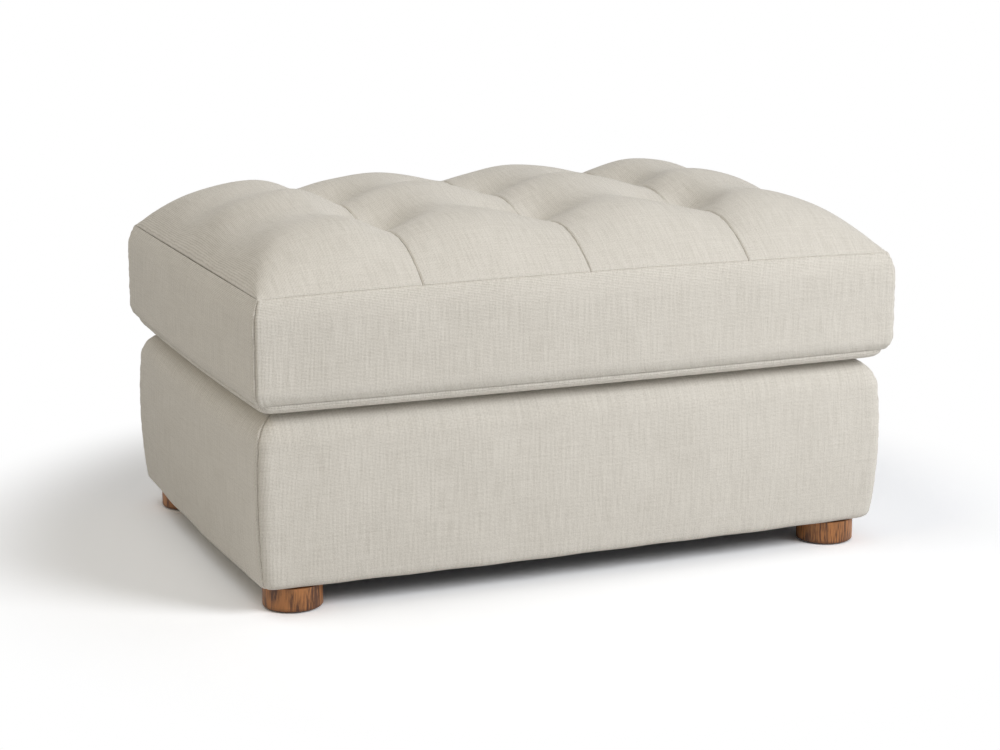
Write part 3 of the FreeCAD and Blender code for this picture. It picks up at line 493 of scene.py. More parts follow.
def cloth_place(tree):
    return node(tree, "ShaderNodeUVMap", uv_map="cloth").outputs["UV"]


def wandering(tree, place, scale, reach):
    """Soft uneven shifts of up to the reach, which bend straight lines when added to their place."""
    inputs = {"Vector": place, "Scale": scale, "Detail": 2.0}
    wander = node(tree, "ShaderNodeTexNoise", inputs).outputs["Color"]
    return node(tree, "ShaderNodeVectorMath", {0: wander, 1: reach}, operation="MULTIPLY").outputs[0]


def added(tree, first, second):
    return node(tree, "ShaderNodeVectorMath", {0: first, 1: second}, operation="ADD").outputs[0]


def about_middle(tree, value, weight, share):
    """The share raised by as much as a value between 0 and 1 lies above its middle, times the weight."""
    return math_node(tree, "MULTIPLY_ADD", math_node(tree, "SUBTRACT", value, 0.5), weight, share)


def threads(tree, place, pitch):
    """Height of a plain weave: warp and weft pass over and under each other."""
    axes = node(tree, "ShaderNodeSeparateXYZ", {0: place})
    turn = math.pi / pitch
    across = math_node(tree, "MULTIPLY", axes.outputs["X"], turn)
    along = math_node(tree, "MULTIPLY", axes.outputs["Y"], turn)
    warp = math_node(tree, "ABSOLUTE", math_node(tree, "SINE", across))
    weft = math_node(tree, "ABSOLUTE", math_node(tree, "SINE", along))
    over = math_node(tree, "MULTIPLY", math_node(tree, "SINE", math_node(tree, "ADD", across, math.pi / 2)),
                     math_node(tree, "SINE", math_node(tree, "ADD", along, math.pi / 2)))
    over = math_node(tree, "MULTIPLY_ADD", over, 0.5, 0.5)
    upper = math_node(tree, "MULTIPLY", warp, over)
    lower = math_node(tree, "MULTIPLY", weft, math_node(tree, "SUBTRACT", 1.0, over))
    return math_node(tree, "ADD", upper, lower)


CLOTH_ROUGHNESS = 0.88
CLOTH_SHEEN = 0.12
THREAD_WANDER_SCALE = 55.0
THREAD_WANDER = 0.9
# A slub is one or two threads wide and runs far along its own way of the cloth.
SLUB_WIDTH = 0.62
WARP_SLUB_SCALE, WEFT_SLUB_SCALE = 22.0, 19.0
WARP_SLUB_SHARE, WEFT_SLUB_SHARE = 0.62, 0.38
HEATHER_SCALE = 620.0
BROAD_SCALE = 9.0
SLUB_SHADE, SLUB_SHADE_START = 1.5, -0.30
HEATHER_SHADE = 1.5
# How far the weave's height darkens the colour between the threads and lightens it on them: painted shade.
WEAVE_PAINTED_SHADE = 1.25
BROAD_SHADE = 0.16
SLUB_HEIGHT = 1.3
WEAVE_RELIEF = 0.55


def woven_cloth(name, place_of, pitch, light, dark, depth=0.0004):
    """A plain weave with uneven threads: slubs along both ways of the cloth, and painted shade in the hollows
    between the threads.
    """
    tree, shader = new_material(name, CLOTH_ROUGHNESS, sheen=CLOTH_SHEEN)
    place = place_of(tree)
    bent = added(tree, place, wandering(tree, place, THREAD_WANDER_SCALE, (pitch * THREAD_WANDER,) * 3))
    weave = threads(tree, bent, pitch)
    slub_width = SLUB_WIDTH / pitch
    warp_slubs = noise(tree, stretched(tree, bent, (slub_width, WARP_SLUB_SCALE, 1.0)), 1.0, 3.0, 0.6)
    weft_slubs = noise(tree, stretched(tree, bent, (WEFT_SLUB_SCALE, slub_width, 1.0)), 1.0, 3.0, 0.6)
    slubs = math_node(tree, "ADD", math_node(tree, "MULTIPLY", warp_slubs, WARP_SLUB_SHARE),
                      math_node(tree, "MULTIPLY", weft_slubs, WEFT_SLUB_SHARE))
    heather = noise(tree, place, HEATHER_SCALE, 3.0, 0.65)
    broad = noise(tree, place, BROAD_SCALE)
    share = math_node(tree, "MULTIPLY_ADD", slubs, SLUB_SHADE, SLUB_SHADE_START)
    # The weave's height darkens the colour in its hollows, which is painted shade. The threads' own uneven
    # tone is added alongside it.
    for value, weight in ((heather, HEATHER_SHADE), (weave, WEAVE_PAINTED_SHADE), (broad, BROAD_SHADE)):
        share = about_middle(tree, value, weight, share)
    shade = ramp(tree, share, ((0.0, opaque(dark)), (1.0, opaque(light))))
    height = math_node(tree, "MULTIPLY_ADD", slubs, SLUB_HEIGHT, weave)
    paint(tree, shader, shade, height, depth, WEAVE_RELIEF)


OAK_ROUGHNESS = 0.46
GRAIN_WANDER_SCALE, GRAIN_WANDER = (9.0, 9.0, 3.0), (0.02, 0.02, 0.03)
GRAIN_LINES = (520.0, 520.0, 34.0)
GRAIN_BANDS = (105.0, 105.0, 14.0)
GRAIN_PORES = (1300.0, 1300.0, 70.0)
LINE_SHADE, BAND_SHADE, GRAIN_SHADE_START, PORE_SHADE = 1.15, 1.0, -0.34, 0.5
MIDDLE_GRAIN = 0.66
GRAIN_STOPS = (0.58, 0.69, 0.84)
PORE_HEIGHT = 0.8
GRAIN_DEPTH, GRAIN_RELIEF = 0.0004, 0.35
# Heights above the floor over which a foot's darker rim fades.
FOOT_RIM = (0.0015, 0.0065)
RIM_SHADE, RIM_SHARE = 0.6, 0.65


def oak(name, light, dark):
    """Turned oak with its grain upright, oiled mid brown and darker at the foot's lower rim."""
    tree, shader = new_material(name, OAK_ROUGHNESS)
    place = object_place(tree)
    wander = wandering(tree, stretched(tree, place, GRAIN_WANDER_SCALE), 1.0, GRAIN_WANDER)
    grain_place = added(tree, place, wander)
    lines = noise(tree, stretched(tree, grain_place, GRAIN_LINES), 1.0, 4.0, 0.65)
    bands = noise(tree, stretched(tree, grain_place, GRAIN_BANDS), 1.0, 3.0, 0.55)
    pores = noise(tree, stretched(tree, grain_place, GRAIN_PORES), 1.0, 2.0, 0.5)
    share = math_node(tree, "MULTIPLY_ADD", bands, BAND_SHADE, GRAIN_SHADE_START)
    share = math_node(tree, "MULTIPLY_ADD", lines, LINE_SHADE, share)
    share = about_middle(tree, pores, PORE_SHADE, share)
    shades = (dark, dimmed(light, MIDDLE_GRAIN), light)
    shade = ramp(tree, share, [(stop, opaque(grain)) for stop, grain in zip(GRAIN_STOPS, shades)])
    level = node(tree, "ShaderNodeSeparateXYZ", {0: place}).outputs["Z"]
    rim = node(tree, "ShaderNodeMapRange", {"Value": level, "From Min": FOOT_RIM[0], "From Max": FOOT_RIM[1],
                                            "To Min": RIM_SHARE, "To Max": 0.0}).outputs["Result"]
    shade = mixed(tree, rim, shade, opaque(dimmed(dark, RIM_SHADE)))
    height = math_node(tree, "ADD", lines, math_node(tree, "MULTIPLY", pores, PORE_HEIGHT))
    paint(tree, shader, shade, height, GRAIN_DEPTH, GRAIN_RELIEF)


TIMBER_ROUGHNESS = 0.62
TIMBER_GRAIN = (4.0, 90.0, 90.0)
LOW_STOP, HIGH_STOP = 0.3, 0.7


def two_shades(tree, share, light, dark):
    return ramp(tree, share, ((LOW_STOP, opaque(dark)), (HIGH_STOP, opaque(light))))


def plain_timber(name, light, dark):
    """Sawn softwood or dowel stock, with its grain along the stool."""
    tree, shader = new_material(name, TIMBER_ROUGHNESS)
    lines = noise(tree, stretched(tree, object_place(tree), TIMBER_GRAIN), 1.0, 4.0, 0.6)
    paint(tree, shader, two_shades(tree, lines, light, dark), lines, 0.0005, 0.3)


SPECKLE_SPAN = 25.0
BROAD_SPECKLE = 0.4


def speckled(name, light, dark, scale, roughness, distance=0.0006, metallic=0.0, strength=0.5):
    """An even material with a fine grain, such as foam, felt, board or brushed metal."""
    tree, shader = new_material(name, roughness, metallic)
    place = object_place(tree)
    fine = noise(tree, place, scale, 3.0, 0.6)
    broad = noise(tree, place, scale / SPECKLE_SPAN)
    share = math_node(tree, "MULTIPLY", fine, 1.0 - BROAD_SPECKLE)
    share = math_node(tree, "MULTIPLY_ADD", broad, BROAD_SPECKLE, share)
    paint(tree, shader, two_shades(tree, share, light, dark), fine, distance, strength)


def make_materials(scene):
    """One material for each finish, named as the record's slots."""
    cloth, wood = scene.stool_cloth, scene.stool_wood
    woven_cloth("cover_cloth", cloth_place, cloth.thread, cloth.light_colour, cloth.dark_colour)
    woven_cloth("zip_cloth", object_place, 0.0008, (0.60, 0.57, 0.50), (0.46, 0.43, 0.37), 0.0002)
    woven_cloth("hessian", object_place, 0.0022, (0.42, 0.29, 0.15), (0.20, 0.13, 0.06), 0.0008)
    oak("foot_oak", wood.light_colour, wood.dark_colour)
    plain_timber("frame_pine", (0.72, 0.52, 0.30), (0.52, 0.33, 0.16))
    plain_timber("dowel_beech", (0.62, 0.40, 0.22), (0.48, 0.29, 0.15))
    speckled("hardboard", (0.22, 0.12, 0.06), (0.12, 0.06, 0.03), 700.0, 0.7)
    speckled("foam", (0.80, 0.76, 0.60), (0.68, 0.63, 0.46), 900.0, 0.95, 0.0008)
    speckled("fibre", (0.86, 0.86, 0.84), (0.72, 0.72, 0.70), 120.0, 0.95, 0.003)
    speckled("dust_cloth", (0.030, 0.030, 0.032), (0.012, 0.012, 0.013), 1500.0, 0.9, 0.0003)
    speckled("tie_cord", (0.70, 0.66, 0.56), (0.48, 0.44, 0.35), 1800.0, 0.85)
    speckled("felt", (0.10, 0.075, 0.055), (0.05, 0.036, 0.027), 1600.0, 0.98)
    speckled("spring_steel", (0.10, 0.095, 0.09), (0.05, 0.048, 0.045), 400.0, 0.42,
             metallic=0.9, strength=0.1)
    speckled("bright_steel", (0.62, 0.63, 0.65), (0.48, 0.49, 0.50), 500.0, 0.32,
             metallic=1.0, strength=0.08)
    speckled("zip_metal", (0.40, 0.37, 0.32), (0.28, 0.26, 0.22), 900.0, 0.34,
             metallic=1.0, strength=0.08)
    speckled("zip_nylon", (0.58, 0.54, 0.46), (0.50, 0.46, 0.39), 900.0, 0.45, strength=0.2)


CAD_FINISHES = {
    "frame_pine": ("front_bottom_rail", "back_bottom_rail", "left_bottom_rail", "right_bottom_rail",
                   "front_top_rail", "back_top_rail", "left_top_rail", "right_top_rail", "corner_posts",
                   "middle_uprights", "cross_rail"),
    "dowel_beech": ("rail_dowels",),
    "hardboard": ("front_facing", "back_facing", "left_facing", "right_facing"),
    "spring_steel": ("zigzag_springs", "spring_tie_wires"),
    "bright_steel": ("spring_clips", "hanger_bolts", "threaded_inserts"),
    "hessian": ("deck_hessian",),
    "tie_cord": ("tuft_ties",),
    "foot_oak": ("foot_front_left", "foot_front_right", "foot_back_left", "foot_back_right"),
    "felt": ("felt_glides",),
    "zip_cloth": ("zip_tapes",),
    "zip_metal": ("zip_slider", "zip_pull"),
}


class FOOTSTOOL_OT_finish_frame(bpy.types.Operator):
    """Gives each piece that keeps its shape its finish"""
    bl_idname = "footstool.finish_frame"
    bl_label = "Finish Frame"

    def execute(self, context):
        for finish, names in CAD_FINISHES.items():
            for name in names:
                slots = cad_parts[name].data.materials
                slots.clear()
                slots.append(finish_of(finish))
        return {"FINISHED"}


class FOOTSTOOL_OT_make_materials(bpy.types.Operator):
    """Makes the finishes: cloth, timber, foam, metal"""
    bl_idname = "footstool.make_materials"
    bl_label = "Make Materials"

    def execute(self, context):
        make_materials(context.scene)
        return {"FINISHED"}


# Cushion

SHOULDER_POWER = 2.5
# The upper seams bow outwards between the cushion's corners, more along its front and back.
SEAM_PLAN_BOW = 0.003
END_SEAM_PLAN_BOW = 0.0006
SEAM_CORNER = 0.003
BORDER_SWEEP = 45.0
BORDER_STEP = 0.004
# The lower seam turns in less than the others, as it shows less in use.
LOWER_SEAM_DEPTH = 0.0012
# Half the gap that the two parts of the back border leave for the zip, and its run at each end.
ZIP_MOUTH = 0.0042
ZIP_TAPER = 0.008


def border_out(z, sizes):
    """How far the border stands out from its seams at height z."""
    from_top, from_bottom = UPPER_SEAM_Z - z, z - LOWER_SEAM_Z
    near_top = np.clip(1 - from_top / sizes.upper_shoulder, 0.0, 1.0)
    near_bottom = np.clip(1 - from_bottom / sizes.lower_shoulder, 0.0, 1.0)
    return sizes.border_swell * (1 - near_top ** SHOULDER_POWER - near_bottom ** SHOULDER_POWER)


def seam_lift(x, sizes):
    """How far the front and back upper seams stand above their corners."""
    return sizes.seam_bow * np.maximum(1 - (x / CUSHION_HALF_LENGTH) ** 2, 0.0)


def half_depth_at(x, sizes):
    """Distance of the front and back upper seams from the middle."""
    return sizes.half_depth + SEAM_PLAN_BOW * (1 - (x / CUSHION_HALF_LENGTH) ** 2)


def border_points(side, heights, sizes, seam):
    """A grid up one side of the cushion, from corner seam to corner seam."""
    long_side = side in ("front", "back")
    half_run = CUSHION_HALF_LENGTH if long_side else sizes.half_depth
    half_out = sizes.half_depth if long_side else CUSHION_HALF_LENGTH
    top_bow = SEAM_PLAN_BOW if long_side else END_SEAM_PLAN_BOW
    nominal = 2 * half_run
    rows, runs, totals = [], [], []

    def distances(total):
        return spread(nominal, BORDER_STEP, seam) * total / nominal

    for z in heights:
        out = float(border_out(z, sizes))
        share = min(2 - 2 * (z - LOWER_SEAM_Z) / (UPPER_SEAM_Z - LOWER_SEAM_Z), 1.0)
        bow = top_bow + (sizes.border_bow - top_bow) * share
        corner = SEAM_CORNER + (sizes.corner_round - SEAM_CORNER) * out / sizes.border_swell
        run, outs, wanted = side_path(half_run + out, half_out + out, bow, corner, BORDER_SWEEP, distances)
        raised = np.full(run.shape, z)
        if long_side:
            share = np.clip((z - LOWER_SEAM_Z) / (UPPER_SEAM_Z - LOWER_SEAM_Z), 0.0, 1.0)
            raised += seam_lift(run, sizes) * share ** 3
        rows.append(placed(side, run, outs, raised))
        runs.append(wanted)
        totals.append(wanted[-1])
    return np.array(rows), np.array(runs), np.array(totals)[:, None]


def border_panel(name, side, low, high, look, sizes, zip_edge=None):
    """One border panel between two heights. A back panel's zip edge draws away from the zip's teeth."""
    seam = look.seam_depth
    levels = low + spread(high - low, BORDER_STEP, seam)
    points, run, total = border_points(side, levels, sizes, seam)
    up = (levels - low)[:, None] * np.ones_like(run)
    height = high - low
    panel = Panel(name, points, run, levels[:, None], look)
    if zip_edge:
        place = run - total / 2
        open_share = np.clip((ZIP_HALF_LENGTH + ZIP_TAPER / 2 - np.abs(place)) / ZIP_TAPER, 0.0, 1.0)
        open_share = open_share * open_share * (3 - 2 * open_share)
        gap = ZIP_MOUTH * open_share
        share = up / height if zip_edge == "upper" else 1 - up / height
        lift = gap * (1 - share) * (1 if zip_edge == "upper" else -1)
        panel.points[..., 2] += lift
    panel.seam(up, run, depth=LOWER_SEAM_DEPTH if zip_edge != "upper" else None, phase=0.3 + SIDES[side])
    upper_depth = look.end_seam_depth if side in ("left", "right") else None
    panel.seam(height - up, run, depth=upper_depth, phase=1.1 + SIDES[side])
    corner_pucker = look.pucker * 1.6
    panel.seam(run, up, pucker=corner_pucker, phase=2.0)
    panel.seam(total - run, up, pucker=corner_pucker, phase=0.9)
    panel.allowance(run, up, phase=0.4)
    panel.allowance(total - run, up, phase=1.4)
    if side in ("left", "right"):
        panel.allowance(height - up, run, phase=0.8)
    panel.waves(np.minimum(np.minimum(up, height - up), np.minimum(run, total - run)))
    panel.finish("cushion", "cushion_" + name, 0.7)


class FOOTSTOOL_OT_add_cushion_border(bpy.types.Operator):
    """Adds the cushion's four border panels, the back one in two halves beside its zip"""
    bl_idname = "footstool.add_cushion_border"
    bl_label = "Add Cushion Border"

    def execute(self, context):
        look, sizes = context.scene.stool_cloth, context.scene.stool_cushion
        for side in ("front", "left", "right"):
            border_panel(side + "_border", side, LOWER_SEAM_Z, UPPER_SEAM_Z, look, sizes)
        border_panel("back_border_upper", "back", ZIP_Z, UPPER_SEAM_Z, look, sizes, "upper")
        border_panel("back_border_lower", "back", LOWER_SEAM_Z, ZIP_Z, look, sizes, "lower")
        return {"FINISHED"}


# Each strip's two seams, and the share of its width at which it is fullest.
STRIPS = {
    "left": (-CUSHION_HALF_LENGTH, -STRIP_SEAM_X, 0.66),
    "mid_left": (-STRIP_SEAM_X, 0.0, 0.45),
    "mid_right": (0.0, STRIP_SEAM_X, 0.45),
    "right": (STRIP_SEAM_X, CUSHION_HALF_LENGTH, 0.34),
}
STRIP_STEP = 0.0035
AT_END = CUSHION_HALF_LENGTH - 1e-4
# Powers of the rise from a strip's left and right seams. A low power rises steeply.
LEFT_RISE, LEFT_END_RISE = 1.1, 0.66
RIGHT_RISE, RIGHT_END_RISE = 1.45, 0.75


def fullness(x, low, high, peak):
    """How full a strip is across its width, from 0 at its seams to 1 at its peak."""
    left = np.clip((x - low) / (peak - low), 0.0, 1.0)
    right = np.clip((high - x) / (high - peak), 0.0, 1.0)
    rise_left = (1 - (1 - left) ** 2) ** (LEFT_END_RISE if low < -AT_END else LEFT_RISE)
    rise_right = (1 - (1 - right) ** 2) ** (RIGHT_END_RISE if high > AT_END else RIGHT_RISE)
    return np.where(x < peak, rise_left, rise_right)


def mix(low, high, share):
    return low + (high - low) * share


# Beyond the outer tufts the valleys between the puffs sink a little, and so does the middle
# puff of the right-hand strip. A tuft's dip widens with its spread.
END_VALLEY_RUN = 0.06
END_VALLEY_DROP = 0.003
END_MIDDLE_DROP = 0.004
TUFT_SPREAD = 1.6
SHORTEST_SLOPE = 0.02


def crown_height(x, y, full, by_end, sizes):
    """Height of the crown above the upper seam: three rows of puffs between the tufts."""
    row = mix(np.where(by_end, 0.0, sizes.seam_crest), sizes.puff_crest, full)
    end_share = np.clip((np.abs(x) - STRIP_SEAM_X) / END_VALLEY_RUN, 0.0, 1.0)
    middle_crest = sizes.puff_middle_crest - END_MIDDLE_DROP * end_share * (x > 0)
    middle = mix(np.where(by_end, 0.0, sizes.seam_middle_crest), middle_crest, full)
    mid_valley = sizes.valley_rise - END_VALLEY_DROP * end_share
    valley_share = np.where(by_end, full, full ** TUFT_SPREAD)
    valley = mix(np.where(by_end, 0.0, sizes.tuft_rise), mid_valley, valley_share)
    run = mix(np.where(by_end, sizes.end_crest_run, sizes.seam_crest_run), sizes.crest_run, full)
    crest_y = half_depth_at(x, sizes) - run
    depth = np.abs(y)
    soft = np.clip(1.5 * full, 0.0, 1.0) ** 0.7

    def bump(share):
        """From 1 at a crest to 0 at a valley, sharp at the tufts and soft in mid strip."""
        sharp = 1 - share ** 2
        rounded = (1 + np.cos(math.pi * share)) / 2
        return mix(sharp, rounded, soft)

    inner_share = np.clip(depth / TUFT_Y, 0.0, 1.0)
    inner = valley + (middle - valley) * bump(inner_share)
    gap = np.maximum(crest_y - TUFT_Y, SHORTEST_SLOPE)
    outer_share = np.clip((crest_y - depth) / gap, 0.0, 1.0)
    outer = valley + (row - valley) * bump(outer_share)
    edge_share = np.clip((depth - crest_y) / run, 0.0, 1.0)
    front = row * (1 - edge_share ** 2)
    height = np.where(depth < TUFT_Y, inner, np.where(depth < crest_y, outer, front))
    return np.maximum(height, 0.0)


def strip_crown(x, y, low, high, peak_share, sizes):
    """Height of one strip above the upper seam."""
    peak = low + (high - low) * peak_share
    by_end = (np.abs(x) > abs(peak)) & (max(abs(low), abs(high)) > AT_END)
    return crown_height(x, y, fullness(x, low, high, peak), by_end, sizes)


FOLDS_ROUND_A_TUFT = 9
FOLD_HEIGHT = 1.1
FOLD_START = 0.008
FOLD_REACH = 0.030


def tuft_folds(x, y, look):
    """Small folds that run out from each tuft."""
    total = np.zeros_like(x)
    for seam_x in (-STRIP_SEAM_X, 0.0, STRIP_SEAM_X):
        for tuft_y in (-TUFT_Y, TUFT_Y):
            away = np.hypot(x - seam_x, y - tuft_y)
            angle = np.arctan2(y - tuft_y, x - seam_x)
            phase = 3 * seam_x * 10 + tuft_y * 7
            fold = np.cos(FOLDS_ROUND_A_TUFT * angle + phase) * np.exp(-(away / FOLD_REACH) ** 1.5)
            total += fold * np.clip(away / FOLD_START, 0.0, 1.0)
    return FOLD_HEIGHT * look.pucker * total


# How far in from the front and back the crown follows the lift of its seam.
SEAM_LIFT_RUN = 0.09
FOLD_CLEARANCE = 0.003


def top_strip(name, low, high, peak_share, look, sizes):
    """One strip of the top panel, crowned in three puffs."""
    seam = look.seam_depth
    across = spread(high - low, STRIP_STEP, seam)
    along = spread(2 * sizes.half_depth, STRIP_STEP, seam)
    x = (low + across)[None, :] * np.ones((len(along), 1))
    y = (along - sizes.half_depth)[:, None] * (half_depth_at(x, sizes) / sizes.half_depth)
    z = UPPER_SEAM_Z + strip_crown(x, y, low, high, peak_share, sizes)
    z += seam_lift(x, sizes) * np.clip(1 - (sizes.half_depth - np.abs(y)) / SEAM_LIFT_RUN, 0.0, 1.0) ** 2
    panel = Panel("top_strip_" + name, np.stack([x, y, z], axis=-1), x, y, look)
    rise = np.concatenate([[0.0], np.cumsum(np.hypot(np.diff(along), np.diff(z[:, len(across) // 2])))])
    panel.across = rise[:, None]
    from_front, from_back = along[:, None] + 0 * x, (along[-1] - along)[:, None] + 0 * x
    from_left, from_right = across[None, :] + 0 * x, (across[-1] - across)[None, :] + 0 * x
    panel.seam(from_front, x, pucker=look.pucker * 0.5, phase=0.2)
    panel.seam(from_back, x, pucker=look.pucker * 0.5, phase=1.7)
    panel.seam(from_left, y, depth=look.end_seam_depth if low < -AT_END else None, phase=2.6)
    panel.seam(from_right, y, depth=look.end_seam_depth if high > AT_END else None, phase=0.4)
    near = np.minimum(np.minimum(from_front, from_back), np.minimum(from_left, from_right))
    panel.waves(near)
    panel.inward -= tuft_folds(x, y, look) * np.clip(near / FOLD_CLEARANCE, 0.0, 1.0)
    panel.finish("cushion", "cushion_top_strip_" + name, 0.8)


class FOOTSTOOL_OT_add_cushion_top(bpy.types.Operator):
    """Adds the four strips of the cushion's tufted top"""
    bl_idname = "footstool.add_cushion_top"
    bl_label = "Add Cushion Top"

    def execute(self, context):
        for name, (low, high, peak) in STRIPS.items():
            top_strip(name, low, high, peak, context.scene.stool_cloth, context.scene.stool_cushion)
        return {"FINISHED"}


def crown_over(x, y, sizes):
    """Height of the crown above the upper seam, anywhere on the cushion."""
    height = np.zeros_like(x)
    for low, high, peak_share in STRIPS.values():
        here = strip_crown(x, y, low, high, peak_share, sizes)
        height = np.where((x >= low) & (x <= high), here, height)
    return height


FILLING_COLUMNS, FILLING_ROWS = 121, 81
WRAP_EDGE = 0.001
WRAP_GAP = 0.001
FOAM_RING_POINTS = 160
FOAM_RINGS = 26
FOAM_SQUARENESS = 16


def fibre_topper(sizes):
    """The fibre wrap that fills the crown."""
    room = sizes.filling_room
    low_z = bottom_of("cushion_fibre_topper")
    x, y = np.meshgrid(np.linspace(-1, 1, FILLING_COLUMNS) * (CUSHION_HALF_LENGTH - room),
                       np.linspace(-1, 1, FILLING_ROWS) * (sizes.half_depth - room))
    upper = np.maximum(UPPER_SEAM_Z + crown_over(x, y, sizes) - room, low_z + WRAP_EDGE)
    outer = np.stack([x, y, upper], axis=-1)
    inner = np.stack([x, y, np.full(x.shape, low_z)], axis=-1)
    filling("fibre_topper", between(outer, inner), "cushion", "cushion_fibre_topper", "fibre")


def foam_core(sizes):
    """The foam block under the wrap, bulging as the border does and rolled in at the bottom."""
    room = sizes.filling_room + WRAP_GAP
    depth = LOWER_SEAM_Z - CUSHION_BOTTOM_Z
    low_z, high_z = bottom_of("cushion_foam_core"), top_of("cushion_foam_core")
    turns = np.linspace(0, 2 * math.pi, FOAM_RING_POINTS, endpoint=False)
    square = 2 / FOAM_SQUARENESS
    across = np.sign(np.cos(turns)) * np.abs(np.cos(turns)) ** square
    along = np.sign(np.sin(turns)) * np.abs(np.sin(turns)) ** square
    rings = []
    for z in np.linspace(low_z, high_z, FOAM_RINGS):
        above = max(z, LOWER_SEAM_Z)
        out = float(border_out(above, sizes)) - room
        if z < LOWER_SEAM_Z:
            out -= sizes.roll_width * (1 - math.sqrt(max(z - CUSHION_BOTTOM_Z, 0.0) / depth))
        bow = sizes.border_bow * (above < UPPER_SEAM_Z - sizes.upper_shoulder)
        x = (CUSHION_HALF_LENGTH + out + bow * (1 - along ** 2)) * across
        y = (sizes.half_depth + out + bow * (1 - across ** 2)) * along
        rings.append(np.stack([x, y, np.full(x.shape, z)], axis=-1))
    filling("foam_core", lofted(np.array(rings)), "cushion", "cushion_foam_core", "foam")


class FOOTSTOOL_OT_add_cushion_filling(bpy.types.Operator):
    """Adds the foam core and the fibre wrap over it"""
    bl_idname = "footstool.add_cushion_filling"
    bl_label = "Add Cushion Filling"

    def execute(self, context):
        fibre_topper(context.scene.stool_cushion)
        foam_core(context.scene.stool_cushion)
        return {"FINISHED"}


TOOTH_PITCH = 0.0025
TOOTH = (0.0013, 0.0017, 0.0030)
TOOTH_ROUND = 0.0003
TOOTH_OFFSET = 0.0008


class FOOTSTOOL_OT_add_zip_teeth(bpy.types.Operator):
    """Adds the zip's two rows of teeth"""
    bl_idname = "footstool.add_zip_teeth"
    bl_label = "Add Zip Teeth"

    def execute(self, context):
        low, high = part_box("zip_chain")
        rows = []
        for side, offset in ((-1, 0.0), (1, TOOTH_PITCH / 2)):
            deselect_all()
            place = (low.x + TOOTH_PITCH / 2 + offset, (low.y + high.y) / 2, ZIP_Z + side * TOOTH_OFFSET)
            bpy.ops.mesh.primitive_cube_add(size=1.0, location=place)
            tooth = context.active_object
            tooth.scale = TOOTH
            bpy.ops.object.transform_apply(location=True, rotation=False, scale=True)
            bevel = tooth.modifiers.new("rounded", "BEVEL")
            bevel.width = TOOTH_ROUND
            bevel.segments = 1
            run = tooth.modifiers.new("row", "ARRAY")
            run.use_relative_offset = False
            run.use_constant_offset = True
            run.constant_offset_displace = (TOOTH_PITCH, 0.0, 0.0)
            run.count = int((high.x - low.x) / TOOTH_PITCH) - 1
            apply_modifiers(tooth)
            rows.append(tooth)
        deselect_all()
        for row in rows:
            row.select_set(True)
        context.view_layer.objects.active = rows[0]
        bpy.ops.object.join()
        teeth = context.active_object
        teeth.name = "zip_teeth"
        hand_over(teeth, "cushion", "zip_chain", "zip_nylon")
        return {"FINISHED"}


BOTTOM_STEP = 0.006
CORNER_BLEND = 6


class FOOTSTOOL_OT_add_cushion_bottom(bpy.types.Operator):
    """Adds the cushion's bottom panel, rolled in under the lower seam"""
    bl_idname = "footstool.add_cushion_bottom"
    bl_label = "Add Cushion Bottom"

    def execute(self, context):
        look, sizes = context.scene.stool_cloth, context.scene.stool_cushion
        half_x, half_y = CUSHION_HALF_LENGTH, sizes.half_depth
        across = spread(2 * half_x, BOTTOM_STEP, look.seam_depth)
        along = spread(2 * half_y, BOTTOM_STEP, look.seam_depth)
        share_x = (across / half_x - 1)[None, :]
        share_y = (along / half_y - 1)[:, None]
        x = -share_x * (half_x + sizes.border_bow * (1 - share_y ** 2))
        y = share_y * (half_y + sizes.border_bow * (1 - share_x ** 2))
        edge_x = (half_x * (1 - np.abs(share_x))) + 0 * y
        edge_y = (half_y * (1 - np.abs(share_y))) + 0 * x
        depth = LOWER_SEAM_Z - CUSHION_BOTTOM_Z

        def roll(edge):
            return np.clip(1 - edge / sizes.roll_width, 0.0, 1.0)

        blended = (roll(edge_x) ** CORNER_BLEND + roll(edge_y) ** CORNER_BLEND) ** (1 / CORNER_BLEND)
        share = np.minimum(blended, 1.0)
        lift = 1 - np.sqrt(1 - share ** 3)
        z = CUSHION_BOTTOM_Z + depth * lift
        panel = Panel("cushion_bottom", np.stack([x, y, z], axis=-1), across[None, :], along[:, None], look)
        left, right = across[None, :] + 0 * y, (2 * half_x - across)[None, :] + 0 * y
        front, back = along[:, None] + 0 * x, (2 * half_y - along)[:, None] + 0 * x
        for distance, run, phase in ((left, y, 0.1), (right, y, 0.8), (front, x, 1.5), (back, x, 2.2)):
            panel.seam(distance, run, depth=LOWER_SEAM_DEPTH, phase=phase)
        panel.finish("cushion", "cushion_bottom_panel", 0.7)
        return {"FINISHED"}


# Base

FLANK_STEPS = 24
BASE_STEP = 0.004
# The front and back covers turn further round each corner than the end covers.
FRONT_SWEEP, END_SWEEP = 55.0, 35.0
# Over the top a cover's edge loses its bow and its round corner, by how far in it lies.
FLAT_START, FLAT_RUN = 0.02, 0.05
FLAT_CORNER = 0.006
WAVES_ABOVE = 0.05


